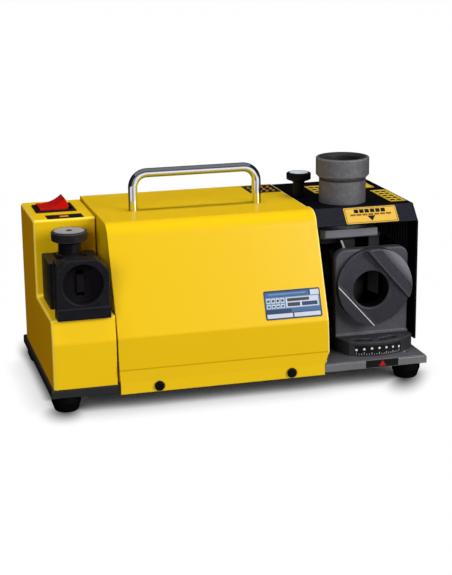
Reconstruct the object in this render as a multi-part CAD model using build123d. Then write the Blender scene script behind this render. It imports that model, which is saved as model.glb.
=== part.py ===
from build123d import *
import os
from math import asin, atan, cos, degrees, radians, sin, tan

os.makedirs("parts", exist_ok=True)

# Bench drill-bit grinder, millimetres, +X along the base plate, +Y to the back, +Z up.
# It is laid out from the base plate: x from its middle, y from its front edge, z from its underside.

# Overall sizes
base_length = 320.0
base_depth = 163.0
base_thickness = 7.0
body_height = 123.5
sheet = 1.5
hood_sheet = 1.5

# Clearances: radial play of turned fits and screws, and air between covers and moving pieces
fit = 0.05
air = 0.3

# Feet
foot_radius = 12.0
foot_height = 14.0
foot_inset = 13.5

# Switch housing on the left
housing_inset = 2.0
housing_width = 51.5
housing_drop = 2.2
ledge_height = 56.8
ledge_depth = 80.0
ledge_setback = 3.0
bend_height = 38.0
housing_round = 2.6
back_inset = 6.5

# Centre cover
cover_gap = 1.3
cover_roll_y = 36.0
cover_roll_radius = 14.0
cover_crease_height = 12.0
cover_crease_out = 1.0
cover_tab_drop = 1.4
cover_tab_taper_left = 1.0
cover_tab_taper_right = 3.6
cover_flange = 12.0
cover_jog = 2.0
cover_rear_lip = 14.0
cover_screw_spacing = 112.0
cover_screw_radius = 4.1
cover_screw_head = 2.2

# Carry handle
handle_span = 107.6
handle_rod_radius = 3.9
handle_rise = 31.3
handle_bend = 12.0
handle_setback = -3.0

# Grinding hood
hood_width = 89.2
hood_front_y = 28.7
hood_lip_depth = 12.0
hood_lip_drop = 12.6
hood_skirt_gap = 6.0
hood_foot_y = 80.0
vent_count = 14
vent_pitch = 6.0
vent_width = 3.0
vent_length = 28.0
vent_start_y = 50.0
vent_top_drop = 14.0

# Divider wall and port bracket
divider_sheet = 2.0
divider_inset = 4.5
divider_front_y = 46.0
flange_width = 12.0
bracket_thickness = 7.4
bracket_drop = 20.5
bracket_front_y = 45.0
bracket_leg = 4.0
bracket_corner = 3.6
bracket_left_reach = 6.0
bracket_right_reach = 1.4

# Thinning port on top
chuck_bore_radius = 16.0
thinning_inset = 54.7
thinning_y = 67.2
port_tube_wall = 4.0
port_tube_height = 20.1
port_collar_wall = 2.8
port_collar_height = 18.4
port_collar_taper = 3.6
port_groove = 0.7
port_lead_in = 2.0
port_liner_wall = 2.0
port_liner_depth = 30.0
port_spigot_wall = 2.4

# Thinning knob
thinning_knob_inset = 7.2
thinning_knob_y = 98.0
thinning_knob_radius = 10.7
thinning_knob_rise = 20.8
thinning_knob_rim = 3.4
thinning_stem_radius = 3.8
thinning_spindle_radius = 3.0
thinning_travel = 2.5

# Motor and spindle
motor_y = 87.0
axis_height = 53.0
motor_radius = 40.0
motor_wall = 4.0
motor_length = 140.0
front_cap_length = 16.0
rear_cap_length = 17.0
magnet_thickness = 6.0
motor_air_gap = 1.5
armature_length = 60.0
armature_slots = 12
shaft_radius = 7.5
shaft_rear_radius = 5.0
shaft_nose_radius = 6.0
front_bearing_radius = 17.5
front_bearing_width = 11.0
rear_bearing_radius = 13.0
rear_bearing_width = 8.0

# Grinding wheel: its cone meets the drill axis at half of a 118 degree point
point_half_angle = 59.0
wheel_radius = 39.0
wheel_thickness = 20.0
wheel_offset = 15.5
band_thickness = 3.0
hub_radius = 25.0

# Swivelling drill holder
port_inset = 40.9
swivel_radius = 48.2
swivel_thickness = 12.0
swivel_corner = 24.2
swivel_low = -11.5
swivel_high = 4.0
swivel_boss_radius = 11.0
pivot_radius = 4.0
lock_radius = 39.5
lock_angles = (-20.9, 13.0)
lock_screw_radius = 2.0
lock_head_radius = 3.4
lock_recess = 5.0
slot_play = 0.4
holder_width = 65.5
holder_offset = 2.35
holder_setback = 22.3
holder_thickness = 8.0
holder_height = 75.6
holder_corner = 9.0
holder_step = 1.2
holder_step_height = 2.0
disc_radius = 33.3
disc_shift = 3.9
disc_thickness = 5.0
disc_spigot_wall = 4.0
disc_chamfer = 1.0
land_angle = 48.5
land_setback = 1.2
land_flat = 11.0
land_height = 5.0
land_rise = 1.5
land_bevel_angle = 18.0
land_draft = 18.0
land_edge = 1.2

# Drill setting gauge
gauge_width = 42.6
gauge_offset = 0.8
gauge_height = 48.0
gauge_corner = 9.0
gauge_round = 6.0
gauge_plate = 13.0
gauge_step = 1.5
gauge_step_height = 9.0
gauge_bore_height = 27.9
gauge_bore_depth = 12.0
gauge_recess_depth = 3.0
gauge_recess_step = 1.6
gauge_waist = 36.0
gauge_rear_y = 36.0
gauge_rear_end_y = 75.0
gauge_rear_height = 37.6
gauge_knob_offset = -0.8
gauge_knob_radius = 15.0
gauge_knob_edge = 0.9
gauge_knob_rim = 8.0
gauge_knob_neck = 9.5
gauge_knob_neck_height = 9.9
gauge_boss_height = 3.7
gauge_spindle_radius = 4.0
gauge_travel = 2.5

# Rocker switch
switch_length = 34.4
switch_width = 30.0
switch_bezel = 1.7
switch_border = 2.5
switch_edge = 1.4
switch_depth = 22.0
switch_wall = 1.6
switch_y = 122.0
switch_offset = 1.75
rocker_half = 11.5
rocker_width = 23.6
rocker_top = 9.2
rocker_dip = 2.6
rocker_tilt = 17.0
rocker_pivot_drop = 3.7
rocker_trunnion_radius = 1.6
rocker_trunnion_length = 1.2

# Places worked out from the sizes
port_tube_radius = chuck_bore_radius + port_tube_wall
port_collar_radius = port_tube_radius + port_collar_wall
gauge_recess_radius = chuck_bore_radius - gauge_recess_step
base_top = base_thickness
cover_top = base_top + body_height
back_y = base_depth - back_inset
left_x = housing_inset - base_length / 2
seam_x = left_x + housing_width
housing_top = cover_top - housing_drop
ledge_z = base_top + ledge_height
bend_z = base_top + bend_height
cover_x0 = seam_x + cover_gap
hood_x1 = base_length / 2 + hood_sheet
hood_x0 = hood_x1 - hood_width
hood_side_x = hood_x1 - hood_sheet
cover_x1 = hood_x0 - air
cover_mid = (cover_x0 + cover_x1) / 2
cover_jog_y = cover_roll_y + cover_roll_radius + 3.0
divider_x0 = cover_x1 - divider_inset
divider_x1 = divider_x0 + divider_sheet
axis_z = base_top + axis_height
port_x = hood_x1 - port_inset
wheel_x0 = port_x - wheel_offset
wheel_x1 = wheel_x0 + wheel_thickness
wheel_slope = tan(radians(90 - point_half_angle))
contact_radius = wheel_radius - wheel_offset * wheel_slope
pivot_y = motor_y - contact_radius
swivel_top = base_top + swivel_thickness
holder_front_y = pivot_y - holder_setback
holder_left = holder_offset - holder_width / 2
holder_right = holder_offset + holder_width / 2
disc_spigot_radius = chuck_bore_radius + disc_spigot_wall
land_inner = chuck_bore_radius + land_setback
land_bevel_start = land_inner + land_flat
lock_seat = swivel_top - lock_recess
holder_back_y = holder_front_y + holder_thickness
disc_front_y = holder_front_y - disc_thickness
thinning_x = hood_x1 - thinning_inset
thinning_knob_x = hood_x0 + thinning_knob_inset - cover_jog
bracket_top = cover_top - bracket_drop
bracket_bottom = bracket_top - bracket_thickness
port_tube_top = cover_top + port_tube_height
gauge_x = (left_x + seam_x) / 2 + gauge_offset
gauge_z = ledge_z + gauge_bore_height
gauge_knob_x = gauge_x + gauge_knob_offset
gauge_knob_y = (gauge_rear_y + gauge_rear_end_y) / 2
gauge_boss_top = ledge_z + gauge_rear_height + gauge_boss_height
switch_x = (left_x + seam_x) / 2 - switch_offset
bezel_top = housing_top + switch_bezel
rocker_z = bezel_top - rocker_pivot_drop
handle_y = motor_y + handle_setback
hood_inside_top = cover_top - hood_sheet
skirt_z = base_top + hood_skirt_gap


def block(x0, x1, y0, y1, z0, z1):
    return Pos((x0 + x1) / 2, (y0 + y1) / 2, (z0 + z1) / 2) * Box(x1 - x0, y1 - y0, z1 - z0)


def rod_x(x0, x1, y, z, r):
    return Pos((x0 + x1) / 2, y, z) * Rot(0, 90, 0) * Cylinder(r, x1 - x0)


def rod_y(x, y0, y1, z, r):
    return Pos(x, (y0 + y1) / 2, z) * Rot(90, 0, 0) * Cylinder(r, y1 - y0)


def rod_z(x, y, z0, z1, r):
    return Pos(x, y, (z0 + z1) / 2) * Cylinder(r, z1 - z0)


def outline(points):
    return make_face(Polyline(*points, close=True))


def prism_x(x0, x1, face):
    return extrude(Pos(x0, 0, 0) * (Plane.YZ * face), x1 - x0)


def prism_y(y0, y1, face):
    return extrude(Pos(0, y1, 0) * (Plane.XZ * face), y1 - y0)


def prism_z(z0, z1, face):
    return extrude(Pos(0, 0, z0) * face, z1 - z0)


# A turned piece on an axis along X: profile points are (x, radius)
def turned_x(y, z, *profile):
    return Pos(0, y, z) * revolve(outline(profile), Axis.X)


# A turned piece on an upright axis: profile points are (radius, z)
def turned_z(x, y, *profile):
    return Pos(x, y, 0) * revolve(Plane.XZ * outline(profile), Axis.Z)


# A screw seated at a point, its head standing out along the given direction and its shank the other way
def screw(x, y, z, rotation, head_radius, head_height, shank_radius, shank_length):
    head = Pos(0, 0, head_height / 2) * Cylinder(head_radius, head_height)
    head = chamfer(head.edges().sort_by(Axis.Z)[-1], head_height * 0.3)
    shank = Pos(0, 0, -shank_length / 2) * Cylinder(shank_radius - fit, shank_length)
    return Pos(x, y, z) * rotation * (head + shank)


HEAD_UP = Rot(0, 0, 0)
HEAD_DOWN = Rot(180, 0, 0)
HEAD_FRONT = Rot(90, 0, 0)
HEAD_BACK = Rot(-90, 0, 0)
HEAD_RIGHT = Rot(0, 90, 0)

panel_screw_radius = 2.0
panel_screw_head = 3.6
panel_screw_head_height = 2.0
panel_screw_length = base_thickness - 1.0
foot_screw_radius = 2.5
foot_places = [
    (side * (base_length / 2 - foot_inset), y)
    for side in (-1, 1)
    for y in (foot_inset, base_depth - foot_inset)
]
cover_screw_places = [cover_mid - cover_screw_spacing / 2, cover_mid + cover_screw_spacing / 2]
cover_screw_length = 12.0
lock_places = [
    (port_x + lock_radius * sin(radians(angle)), pivot_y - lock_radius * cos(radians(angle)))
    for angle in lock_angles
]
divider_screw_places = [(divider_x0 - flange_width / 2, y) for y in (divider_front_y + 8, back_y - 14)]
hood_screw_places = [(x, back_y - flange_width / 2) for x in (hood_x0 + 16, hood_x1 - 40)]
rear_screw_places = [(cover_mid + side * 55, back_y - flange_width / 2) for side in (-1, 1)]
cradle_width = 64.0
cradle_length = 60.0
cradle_foot = 6.0
motor_x1 = divider_x0
motor_x0 = motor_x1 - motor_length
yoke_x0 = motor_x0 + rear_cap_length
yoke_x1 = motor_x1 - front_cap_length
yoke_mid = (yoke_x0 + yoke_x1) / 2
cradle_screw_places = [
    (yoke_mid + sx * (cradle_length / 2 - 8), motor_y + sy * (cradle_width / 2 + 8))
    for sx in (-1, 1)
    for sy in (-1, 1)
]


# Base plate: thick steel plate that everything is screwed to
def base_plate():
    plate = block(-base_length / 2, base_length / 2, 0, base_depth, 0, base_thickness)
    plate = chamfer(plate.edges().group_by(Axis.Z)[-1], 1.0)
    for x, y in foot_places:
        plate -= rod_z(x, y, -1, base_thickness + 1, foot_screw_radius)
    for x, y in divider_screw_places + hood_screw_places + rear_screw_places + cradle_screw_places:
        plate -= rod_z(x, y, -1, base_thickness + 1, panel_screw_radius)
    for x, y in lock_places:
        plate -= rod_z(x, y, -1, base_thickness + 1, lock_screw_radius)
    plate -= rod_z(port_x, pivot_y, -1, base_thickness + 1, pivot_radius - 1)
    for x in cover_screw_places:
        plate -= rod_y(x, -1, cover_screw_length, base_thickness / 2, panel_screw_radius)
    return plate


# Rubber feet: tapered, with a pocket below for the screw head
foot_pocket_radius = 6.0
foot_pocket_depth = 7.0


def rubber_feet():
    feet = Part()
    for x, y in foot_places:
        foot = turned_z(
            x, y,
            (foot_screw_radius, 0), (foot_radius, 0), (foot_radius, -foot_height * 0.45),
            (foot_radius - 2.2, -foot_height + 1.2), (foot_radius - 3.4, -foot_height),
            (foot_pocket_radius, -foot_height), (foot_pocket_radius, foot_pocket_depth - foot_height),
            (foot_screw_radius, foot_pocket_depth - foot_height),
        )
        feet += foot
    return feet


def foot_screws():
    grip = foot_height - foot_pocket_depth
    return Part() + [
        screw(
            x, y, -grip, HEAD_DOWN,
            foot_pocket_radius - 1, 3.2, foot_screw_radius, grip + base_thickness - 0.5,
        )
        for x, y in foot_places
    ]


gauge_screw_places = [(gauge_x + side * 15, y) for side in (-1, 1) for y in (10.0, gauge_rear_end_y - 10)]
gland_radius = 9.0
gland_y = back_y
gland_x = (left_x + seam_x) / 2
gland_z = base_top + 22.0


# Switch housing: stepped sheet box, open below and towards the centre cover
def left_housing():
    profile = outline([
        (0, base_top), (0, bend_z), (ledge_setback, ledge_z), (ledge_depth, ledge_z),
        (ledge_depth, housing_top), (back_y, housing_top), (back_y, base_top),
    ])
    solid = prism_x(left_x, seam_x, profile)
    rounded = [
        e for e in solid.edges()
        if e.center().Z > base_top + 0.1 and e.center().X < seam_x - 0.1
    ]
    solid = fillet(rounded, housing_round)
    shell = offset(
        solid, -sheet, openings=[solid.faces().sort_by(Axis.X)[-1], solid.faces().sort_by(Axis.Z)[0]],
        kind=Kind.INTERSECTION,
    )
    cut_x = switch_length / 2 - switch_border + switch_wall + air
    cut_y = switch_width / 2 - switch_edge + air
    shell -= block(
        switch_x - cut_x, switch_x + cut_x, switch_y - cut_y, switch_y + cut_y,
        housing_top - 5, housing_top + 1,
    )
    for x, y in gauge_screw_places:
        shell -= rod_z(x, y, ledge_z - 5, ledge_z + 1, panel_screw_radius)
    shell -= rod_y(gland_x, back_y - 5, back_y + 1, gland_z, gland_radius - 2)
    return shell


# Side view of the centre cover, sunk in by a distance
def cover_profile():
    face = outline([
        (back_y, base_top + air), (back_y, cover_top), (cover_roll_y, cover_top), (0, bend_z),
        (-sheet - cover_crease_out, base_top + cover_crease_height), (-sheet, base_top + 1.5),
        (-sheet, base_top + air),
    ])
    corners = face.vertices().sort_by(Axis.Y)
    roll = [v for v in corners if abs(v.X - cover_roll_y) < 0.1]
    face = fillet(roll, cover_roll_radius)
    bends = [v for v in face.vertices() if abs(v.Y - bend_z) < 0.1]
    return fillet(bends, 6)


# Centre cover: one bent sheet for the top and front, with turned-in sides
# and a tab over the base plate's edge
def center_cover():
    profile = cover_profile()
    inner = offset(profile, -sheet, kind=Kind.INTERSECTION)
    hollow = prism_x(cover_x0 + sheet, cover_x1 - sheet, inner)
    cover = prism_x(cover_x0, cover_x1, profile) - hollow
    cover -= Pos(0, 2 * sheet, 0) * hollow
    cover -= Pos(0, 0, -2 * sheet) * hollow
    cover -= Pos(0, 2 * sheet, -2 * sheet) * hollow
    opening = offset(profile, -cover_flange, kind=Kind.INTERSECTION)
    window = prism_x(cover_x1 - 2 * sheet, cover_x1 + 1, opening)
    cover -= window
    cover -= Pos(0, cover_flange, 0) * window
    cover -= Pos(0, cover_flange, -cover_flange) * window
    cover -= Pos(0, 0, -cover_flange) * window
    cover -= block(cover_x1 - cover_jog, cover_x1 + 1, cover_jog_y, back_y + 1, bend_z, cover_top + 1)
    crease_z = base_top + cover_crease_height
    for edge_x, way, taper in ((cover_x0, 1, cover_tab_taper_left), (cover_x1, -1, cover_tab_taper_right)):
        corner = outline([
            (edge_x - way, crease_z), (edge_x, crease_z), (edge_x + way * taper, base_top + air),
            (edge_x + way * taper, base_top - 1), (edge_x - way, base_top - 1),
        ])
        cover -= prism_y(-10, 4, corner)
    for edge_x, way in ((cover_x0, 1), (cover_x1, -1)):
        cover -= block(
            min(edge_x - 1, edge_x + way * sheet), max(edge_x + 1, edge_x + way * sheet), 0, 6,
            crease_z - 1, crease_z + 8,
        )
    cover += block(
        cover_x0 + cover_tab_taper_left, cover_x1 - cover_tab_taper_right, -sheet, 0,
        -cover_tab_drop, base_top + 1,
    )
    cover += block(
        cover_x0, cover_x1 - cover_jog, back_y, back_y + sheet, cover_top - cover_rear_lip, cover_top,
    )
    for x in cover_screw_places:
        cover -= rod_y(x, -6, 1, base_thickness / 2, panel_screw_radius)
    for x in handle_places:
        cover -= rod_z(x, handle_y, cover_top - 5, cover_top + 1, handle_screw_radius)
    for x, _ in rear_screw_places:
        cover -= rod_y(x, back_y - 1, back_y + 5, cover_top - cover_rear_lip / 2, panel_screw_radius)
    return cover


def cover_screws():
    return Part() + [
        screw(
            x, -sheet, base_thickness / 2, HEAD_FRONT,
            cover_screw_radius, cover_screw_head, panel_screw_radius, cover_screw_length,
        )
        for x in cover_screw_places
    ]


# Carry handle: chromed rod bent twice, held by a screw up into each leg
handle_places = [cover_mid - 2.4 - handle_span / 2, cover_mid - 2.4 + handle_span / 2]
handle_screw_radius = 2.5
handle_screw_length = 14.0


def carry_handle():
    x0, x1 = handle_places
    top = cover_top + handle_rise
    path = FilletPolyline(
        (x0, handle_y, cover_top), (x0, handle_y, top), (x1, handle_y, top), (x1, handle_y, cover_top),
        radius=handle_bend,
    )
    rod = sweep(Pos(x0, handle_y, cover_top) * Circle(handle_rod_radius), path)
    for x in handle_places:
        rod -= rod_z(x, handle_y, cover_top - 1, cover_top + handle_screw_length, handle_screw_radius)
    return rod


def handle_screws():
    return Part() + [
        screw(x, handle_y, cover_top - sheet, HEAD_DOWN, 5.5, 3.0, handle_screw_radius, handle_screw_length)
        for x in handle_places
    ]


# Rear panel behind the motor, with cooling slots
rear_slot_rows = 2
rear_slot_count = 12
rear_slot_pitch = 10.0
rear_slot_length = 30.0
rear_slot_width = 4.0


def slot_row(count, pitch, length, width):
    row = Sketch()
    for i in range(count):
        row += Pos((i - (count - 1) / 2) * pitch, 0) * SlotOverall(length, width, rotation=90)
    return row


def rear_panel():
    x0 = cover_x0 + sheet + air
    x1 = cover_x1 - sheet - air - cover_jog
    panel = block(x0, x1, back_y - sheet, back_y, base_top, cover_top - sheet)
    panel += block(x0, divider_x0 - 1, back_y - flange_width, back_y - sheet, base_top, base_top + sheet)
    for row in range(rear_slot_rows):
        slots = slot_row(rear_slot_count, rear_slot_pitch, rear_slot_length, rear_slot_width)
        z = axis_z + (row - 0.5) * (rear_slot_length + 8)
        panel -= prism_y(back_y - 4, back_y + 1, Pos(cover_mid, z) * slots)
    for x, y in rear_screw_places:
        panel -= rod_z(x, y, base_top - 1, base_top + 3, panel_screw_radius)
        panel -= rod_y(x, back_y - 4, back_y + 1, cover_top - cover_rear_lip / 2, panel_screw_radius)
    return panel


# Divider wall between the motor and the grinding chamber
motor_nose_radius = 21.0
face_screw_radius = 2.0
face_screw_circle = 31.0
face_screw_places = [
    (motor_y + face_screw_circle * cos(radians(a)), axis_z + face_screw_circle * sin(radians(a)))
    for a in (45, 135, 225, 315)
]
bracket_leg_z = axis_z + 27.0
bracket_screw_places = [(y, (bracket_leg_z + bracket_bottom) / 2) for y in (64.0, 80.0)]


def divider_wall():
    wall = block(divider_x0, divider_x1, divider_front_y, back_y - sheet - air, base_top, hood_inside_top)
    wall += block(
        divider_x0 - flange_width, divider_x0, divider_front_y, back_y - flange_width - air,
        base_top, base_top + divider_sheet,
    )
    wall += block(
        divider_x1, divider_x1 + flange_width, cover_jog_y + air, back_y - sheet - air,
        hood_inside_top - divider_sheet, hood_inside_top,
    )
    wall -= block(divider_x0 - 1, hood_x0, divider_front_y - 1, back_y, cover_top - sheet, cover_top)
    wall -= rod_x(divider_x0 - 1, divider_x1 + 1, motor_y, axis_z, motor_nose_radius)
    wall -= rod_z(
        thinning_knob_x, thinning_knob_y, hood_inside_top - 5, hood_inside_top + 1, thinning_stem_radius + 1,
    )
    for y, z in face_screw_places + bracket_screw_places:
        wall -= rod_x(divider_x0 - 1, divider_x1 + 1, y, z, face_screw_radius)
    for x, y in divider_screw_places:
        wall -= rod_z(x, y, base_top - 1, base_top + 5, panel_screw_radius)
    return wall


# Side view of the hood: open in front, with a lip that slopes down from the top
def hood_profile():
    return outline([
        (hood_front_y, skirt_z), (hood_front_y, cover_top - hood_lip_drop),
        (hood_front_y + hood_lip_depth, cover_top), (back_y, cover_top), (back_y, skirt_z),
    ])


# Grinding hood: black sheet bent into the lip, the top and the back of the grinding chamber
def grinding_hood():
    x0 = hood_x0 - cover_jog
    lip = (hood_lip_depth**2 + hood_lip_drop**2) ** 0.5
    in_y = hood_sheet * hood_lip_drop / lip
    in_z = hood_sheet * hood_lip_depth / lip
    lip_z = cover_top - hood_lip_drop
    lip_run = (hood_lip_drop - hood_sheet + in_z) * hood_lip_depth / hood_lip_drop
    hollow = outline([
        (hood_front_y - in_y, skirt_z - 1), (hood_front_y - in_y, lip_z + in_z),
        (hood_front_y + in_y, lip_z - in_z), (hood_front_y + in_y + lip_run, cover_top - hood_sheet),
        (back_y - hood_sheet, cover_top - hood_sheet), (back_y - hood_sheet, skirt_z - 1),
    ])
    hood = prism_x(x0, hood_side_x, hood_profile()) - prism_x(x0 - 1, hood_side_x + 1, hollow)
    bends = [e for e in hood.edges().filter_by(Axis.X) if e.center().Z > cover_top - 0.1]
    hood = fillet(bends, hood_sheet)
    hood -= block(x0 - 1, hood_x0, hood_front_y - 1, cover_jog_y + air, skirt_z, cover_top + 1)
    hood += block(hood_x0, hood_side_x, back_y - hood_sheet, back_y, base_top, skirt_z + 1)
    hood += block(
        hood_x0, hood_side_x, back_y - flange_width, back_y - hood_sheet, base_top, base_top + hood_sheet,
    )
    hood -= rod_z(thinning_x, thinning_y, cover_top - 5, cover_top + 1, port_tube_radius + air)
    hood -= rod_z(thinning_knob_x, thinning_knob_y, cover_top - 5, cover_top + 1, thinning_stem_radius + air)
    for x, y in hood_screw_places:
        hood -= rod_z(x, y, base_top - 1, base_top + 3, panel_screw_radius)
    return hood


# Hood side: flat end panel with a row of vent slots, welded to the hood's edge
# and reaching down to the base plate behind the drill holder
def hood_side():
    foot = outline([
        (hood_foot_y, skirt_z + 1), (hood_foot_y, skirt_z), (hood_foot_y + hood_skirt_gap, base_top + air),
        (back_y, base_top + air), (back_y, skirt_z + 1),
    ])
    panel = prism_x(hood_side_x, hood_x1, hood_profile() + foot)
    rim = [
        e for e in panel.edges()
        if e.center().X > hood_x1 - 0.1 and e.center().Z > skirt_z + 0.1 and e.center().Y > hood_front_y + 0.1
    ]
    panel = fillet(rim, hood_sheet * 0.8)
    vents = slot_row(vent_count, vent_pitch, vent_length, vent_width)
    vent_y = vent_start_y + (vent_count - 1) / 2 * vent_pitch
    vent_z = cover_top - vent_top_drop - vent_length / 2
    return panel - prism_x(hood_side_x - 1, hood_x1 + 1, Pos(vent_y, vent_z) * vents)


# Like screws that hold the sheet panels, the divider and the port bracket
def panel_screws():
    screws = Part()
    seats = [(p, divider_sheet) for p in divider_screw_places]
    seats += [(p, hood_sheet) for p in hood_screw_places]
    seats += [(p, sheet) for p in rear_screw_places]
    for (x, y), thickness in seats:
        screws += screw(
            x, y, base_top + thickness, HEAD_UP,
            panel_screw_head, panel_screw_head_height, panel_screw_radius, panel_screw_length + thickness,
        )
    for x, _ in rear_screw_places:
        screws += screw(
            x, back_y + sheet, cover_top - cover_rear_lip / 2, HEAD_BACK,
            panel_screw_head, panel_screw_head_height, panel_screw_radius, sheet + 4,
        )
    for y, z in bracket_screw_places:
        screws += screw(
            divider_x1 + bracket_leg, y, z, HEAD_RIGHT,
            panel_screw_head, panel_screw_head_height, face_screw_radius, bracket_leg + divider_sheet,
        )
    return screws


# Port bracket: steel angle on the divider that carries the thinning port and the stop spindle
bracket_x0 = thinning_x - port_tube_radius - bracket_left_reach
bracket_x1 = thinning_x + port_collar_radius + bracket_right_reach
bracket_back_y = thinning_y + port_collar_radius + 5
bracket_tongue_y = 60.0


def port_bracket():
    plate = block(bracket_x0, bracket_x1, bracket_front_y, bracket_back_y, bracket_bottom, bracket_top)
    plate = chamfer(plate.edges().filter_by(Axis.X).group_by(Axis.Z)[0], 1.2)
    corner = plate.edges().filter_by(Axis.Z).group_by(Axis.Y)[0].sort_by(Axis.X)[0]
    plate = chamfer(corner, bracket_corner)
    plate += block(
        divider_x1, bracket_x0 + 1, bracket_tongue_y, thinning_knob_y + 10, bracket_bottom, bracket_top,
    )
    plate += block(
        divider_x1, divider_x1 + bracket_leg, bracket_screw_places[0][0] - 8, thinning_knob_y - 10,
        bracket_leg_z, bracket_top,
    )
    plate -= rod_z(thinning_x, thinning_y, bracket_bottom - 1, bracket_top + 1, port_spigot_radius + fit)
    plate -= rod_z(
        thinning_knob_x, thinning_knob_y, bracket_bottom - 1, bracket_top + 1, thinning_spindle_radius + fit,
    )
    for y, z in bracket_screw_places:
        plate -= rod_x(divider_x1 - 1, divider_x1 + bracket_leg + 1, y, z, face_screw_radius)
    return plate


# Thinning port: tube through the hood, with a collared liner that takes the drill chuck
port_liner_radius = chuck_bore_radius + port_liner_wall
port_spigot_radius = chuck_bore_radius + port_spigot_wall
port_liner_bottom = port_tube_top - port_liner_depth


def thinning_port_tube():
    return turned_z(
        thinning_x, thinning_y,
        (chuck_bore_radius + air, bracket_bottom), (port_spigot_radius, bracket_bottom),
        (port_spigot_radius, bracket_top), (port_tube_radius, bracket_top), (port_tube_radius, port_tube_top),
        (port_liner_radius + fit, port_tube_top), (port_liner_radius + fit, port_liner_bottom),
        (chuck_bore_radius + air, port_liner_bottom),
    )


def thinning_port_sleeve():
    top = port_tube_top + port_collar_height
    groove_radius = port_tube_radius - port_groove
    return turned_z(
        thinning_x, thinning_y,
        (chuck_bore_radius, port_liner_bottom), (port_liner_radius, port_liner_bottom),
        (port_liner_radius, port_tube_top), (groove_radius, port_tube_top),
        (groove_radius, port_tube_top + port_groove), (port_tube_radius, port_tube_top + port_groove),
        (port_collar_radius, port_tube_top + port_collar_taper), (port_collar_radius, top - 0.7),
        (port_collar_radius - 0.7, top), (chuck_bore_radius + port_lead_in, top),
        (chuck_bore_radius, top - port_lead_in),
    )


# Grit deflector: bent strap under the bracket that hangs beside the wheel
deflector_sheet = 3.0
deflector_y = 62.5
deflector_width = 9.3
deflector_clear = 4.5
deflector_drop = 57.0
deflector_foot = 7.0


def grit_deflector():
    x0 = wheel_x1 + deflector_clear
    x1 = x0 + deflector_width
    strap = block(
        x0, x1, deflector_y - deflector_sheet / 2, deflector_y + deflector_sheet / 2,
        bracket_bottom - deflector_drop, bracket_bottom,
    )
    tip = outline([
        (x0 - 1, bracket_bottom - deflector_drop - 1), (x1 + 1, bracket_bottom - deflector_drop - 1),
        (x1 + 1, bracket_bottom - deflector_drop), (x0 - 1, bracket_bottom - deflector_drop + 5),
    ])
    strap -= prism_y(deflector_y - 5, deflector_y + 5, tip)
    foot = block(
        bracket_x1 - deflector_foot * 2, x1,
        deflector_y - deflector_foot / 2, deflector_y + deflector_foot / 2,
        bracket_bottom - deflector_sheet, bracket_bottom,
    )
    return strap + foot


# Motor: hollow yoke with two magnets between cast caps that hold the bearings
magnet_outer = motor_radius - motor_wall - fit
magnet_inner = magnet_outer - magnet_thickness
armature_radius = magnet_inner - motor_air_gap
armature_x0 = yoke_mid - armature_length / 2
armature_x1 = yoke_mid + armature_length / 2
front_bearing_x1 = motor_x1 - 2.5
front_bearing_x0 = front_bearing_x1 - front_bearing_width
rear_bearing_x0 = motor_x0 + 4.0
rear_bearing_x1 = rear_bearing_x0 + rear_bearing_width
winding_overhang = 9.0
commutator_length = 12.0
commutator_radius = 14.0
commutator_x1 = armature_x0 - winding_overhang - 1.0
commutator_x0 = commutator_x1 - commutator_length
fan_x1 = yoke_x1 - 1.0
fan_x0 = fan_x1 - 9.0


def motor_yoke():
    return turned_x(
        motor_y, axis_z,
        (yoke_x0, motor_radius), (yoke_x1, motor_radius),
        (yoke_x1, motor_radius - motor_wall), (yoke_x0, motor_radius - motor_wall),
    )


def field_magnets():
    ring = turned_x(
        motor_y, axis_z,
        (armature_x0 - 3, magnet_outer), (armature_x1 + 3, magnet_outer),
        (armature_x1 + 3, magnet_inner), (armature_x0 - 3, magnet_inner),
    )
    gap = magnet_outer * 0.38
    return ring - block(
        armature_x0 - 5, armature_x1 + 5, motor_y - gap, motor_y + gap,
        axis_z - motor_radius, axis_z + motor_radius,
    )


def motor_front_cap():
    cap = turned_x(
        motor_y, axis_z,
        (yoke_x1, motor_radius), (motor_x1, motor_radius - 2), (motor_x1, shaft_radius + 1),
        (front_bearing_x1, shaft_radius + 1), (front_bearing_x1, front_bearing_radius + fit),
        (front_bearing_x0, front_bearing_radius + fit), (front_bearing_x0, front_bearing_radius + 4),
        (yoke_x1, front_bearing_radius + 4),
    )
    for y, z in face_screw_places:
        cap -= rod_x(motor_x1 - 10, motor_x1 + 1, y, z, face_screw_radius)
    return cap


def motor_rear_cap():
    cap = turned_x(
        motor_y, axis_z,
        (motor_x0, 0), (motor_x0, motor_radius - 6), (motor_x0 + 5, motor_radius), (yoke_x0, motor_radius),
        (yoke_x0, motor_radius - motor_wall - 2), (rear_bearing_x1 + 1, motor_radius - motor_wall - 2),
        (rear_bearing_x1 + 1, rear_bearing_radius + 4), (rear_bearing_x1, rear_bearing_radius + 4),
        (rear_bearing_x1, rear_bearing_radius + fit), (rear_bearing_x0, rear_bearing_radius + fit),
        (rear_bearing_x0, 0),
    )
    return cap


def bearing(x0, x1, outer, inner):
    shoulder = (outer - inner) * 0.3
    return turned_x(
        motor_y, axis_z,
        (x0, inner), (x0, inner + shoulder), (x0 + 1, inner + shoulder), (x0 + 1, outer - shoulder),
        (x0, outer - shoulder), (x0, outer), (x1, outer), (x1, outer - shoulder), (x1 - 1, outer - shoulder),
        (x1 - 1, inner + shoulder), (x1, inner + shoulder), (x1, inner),
    )


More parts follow.
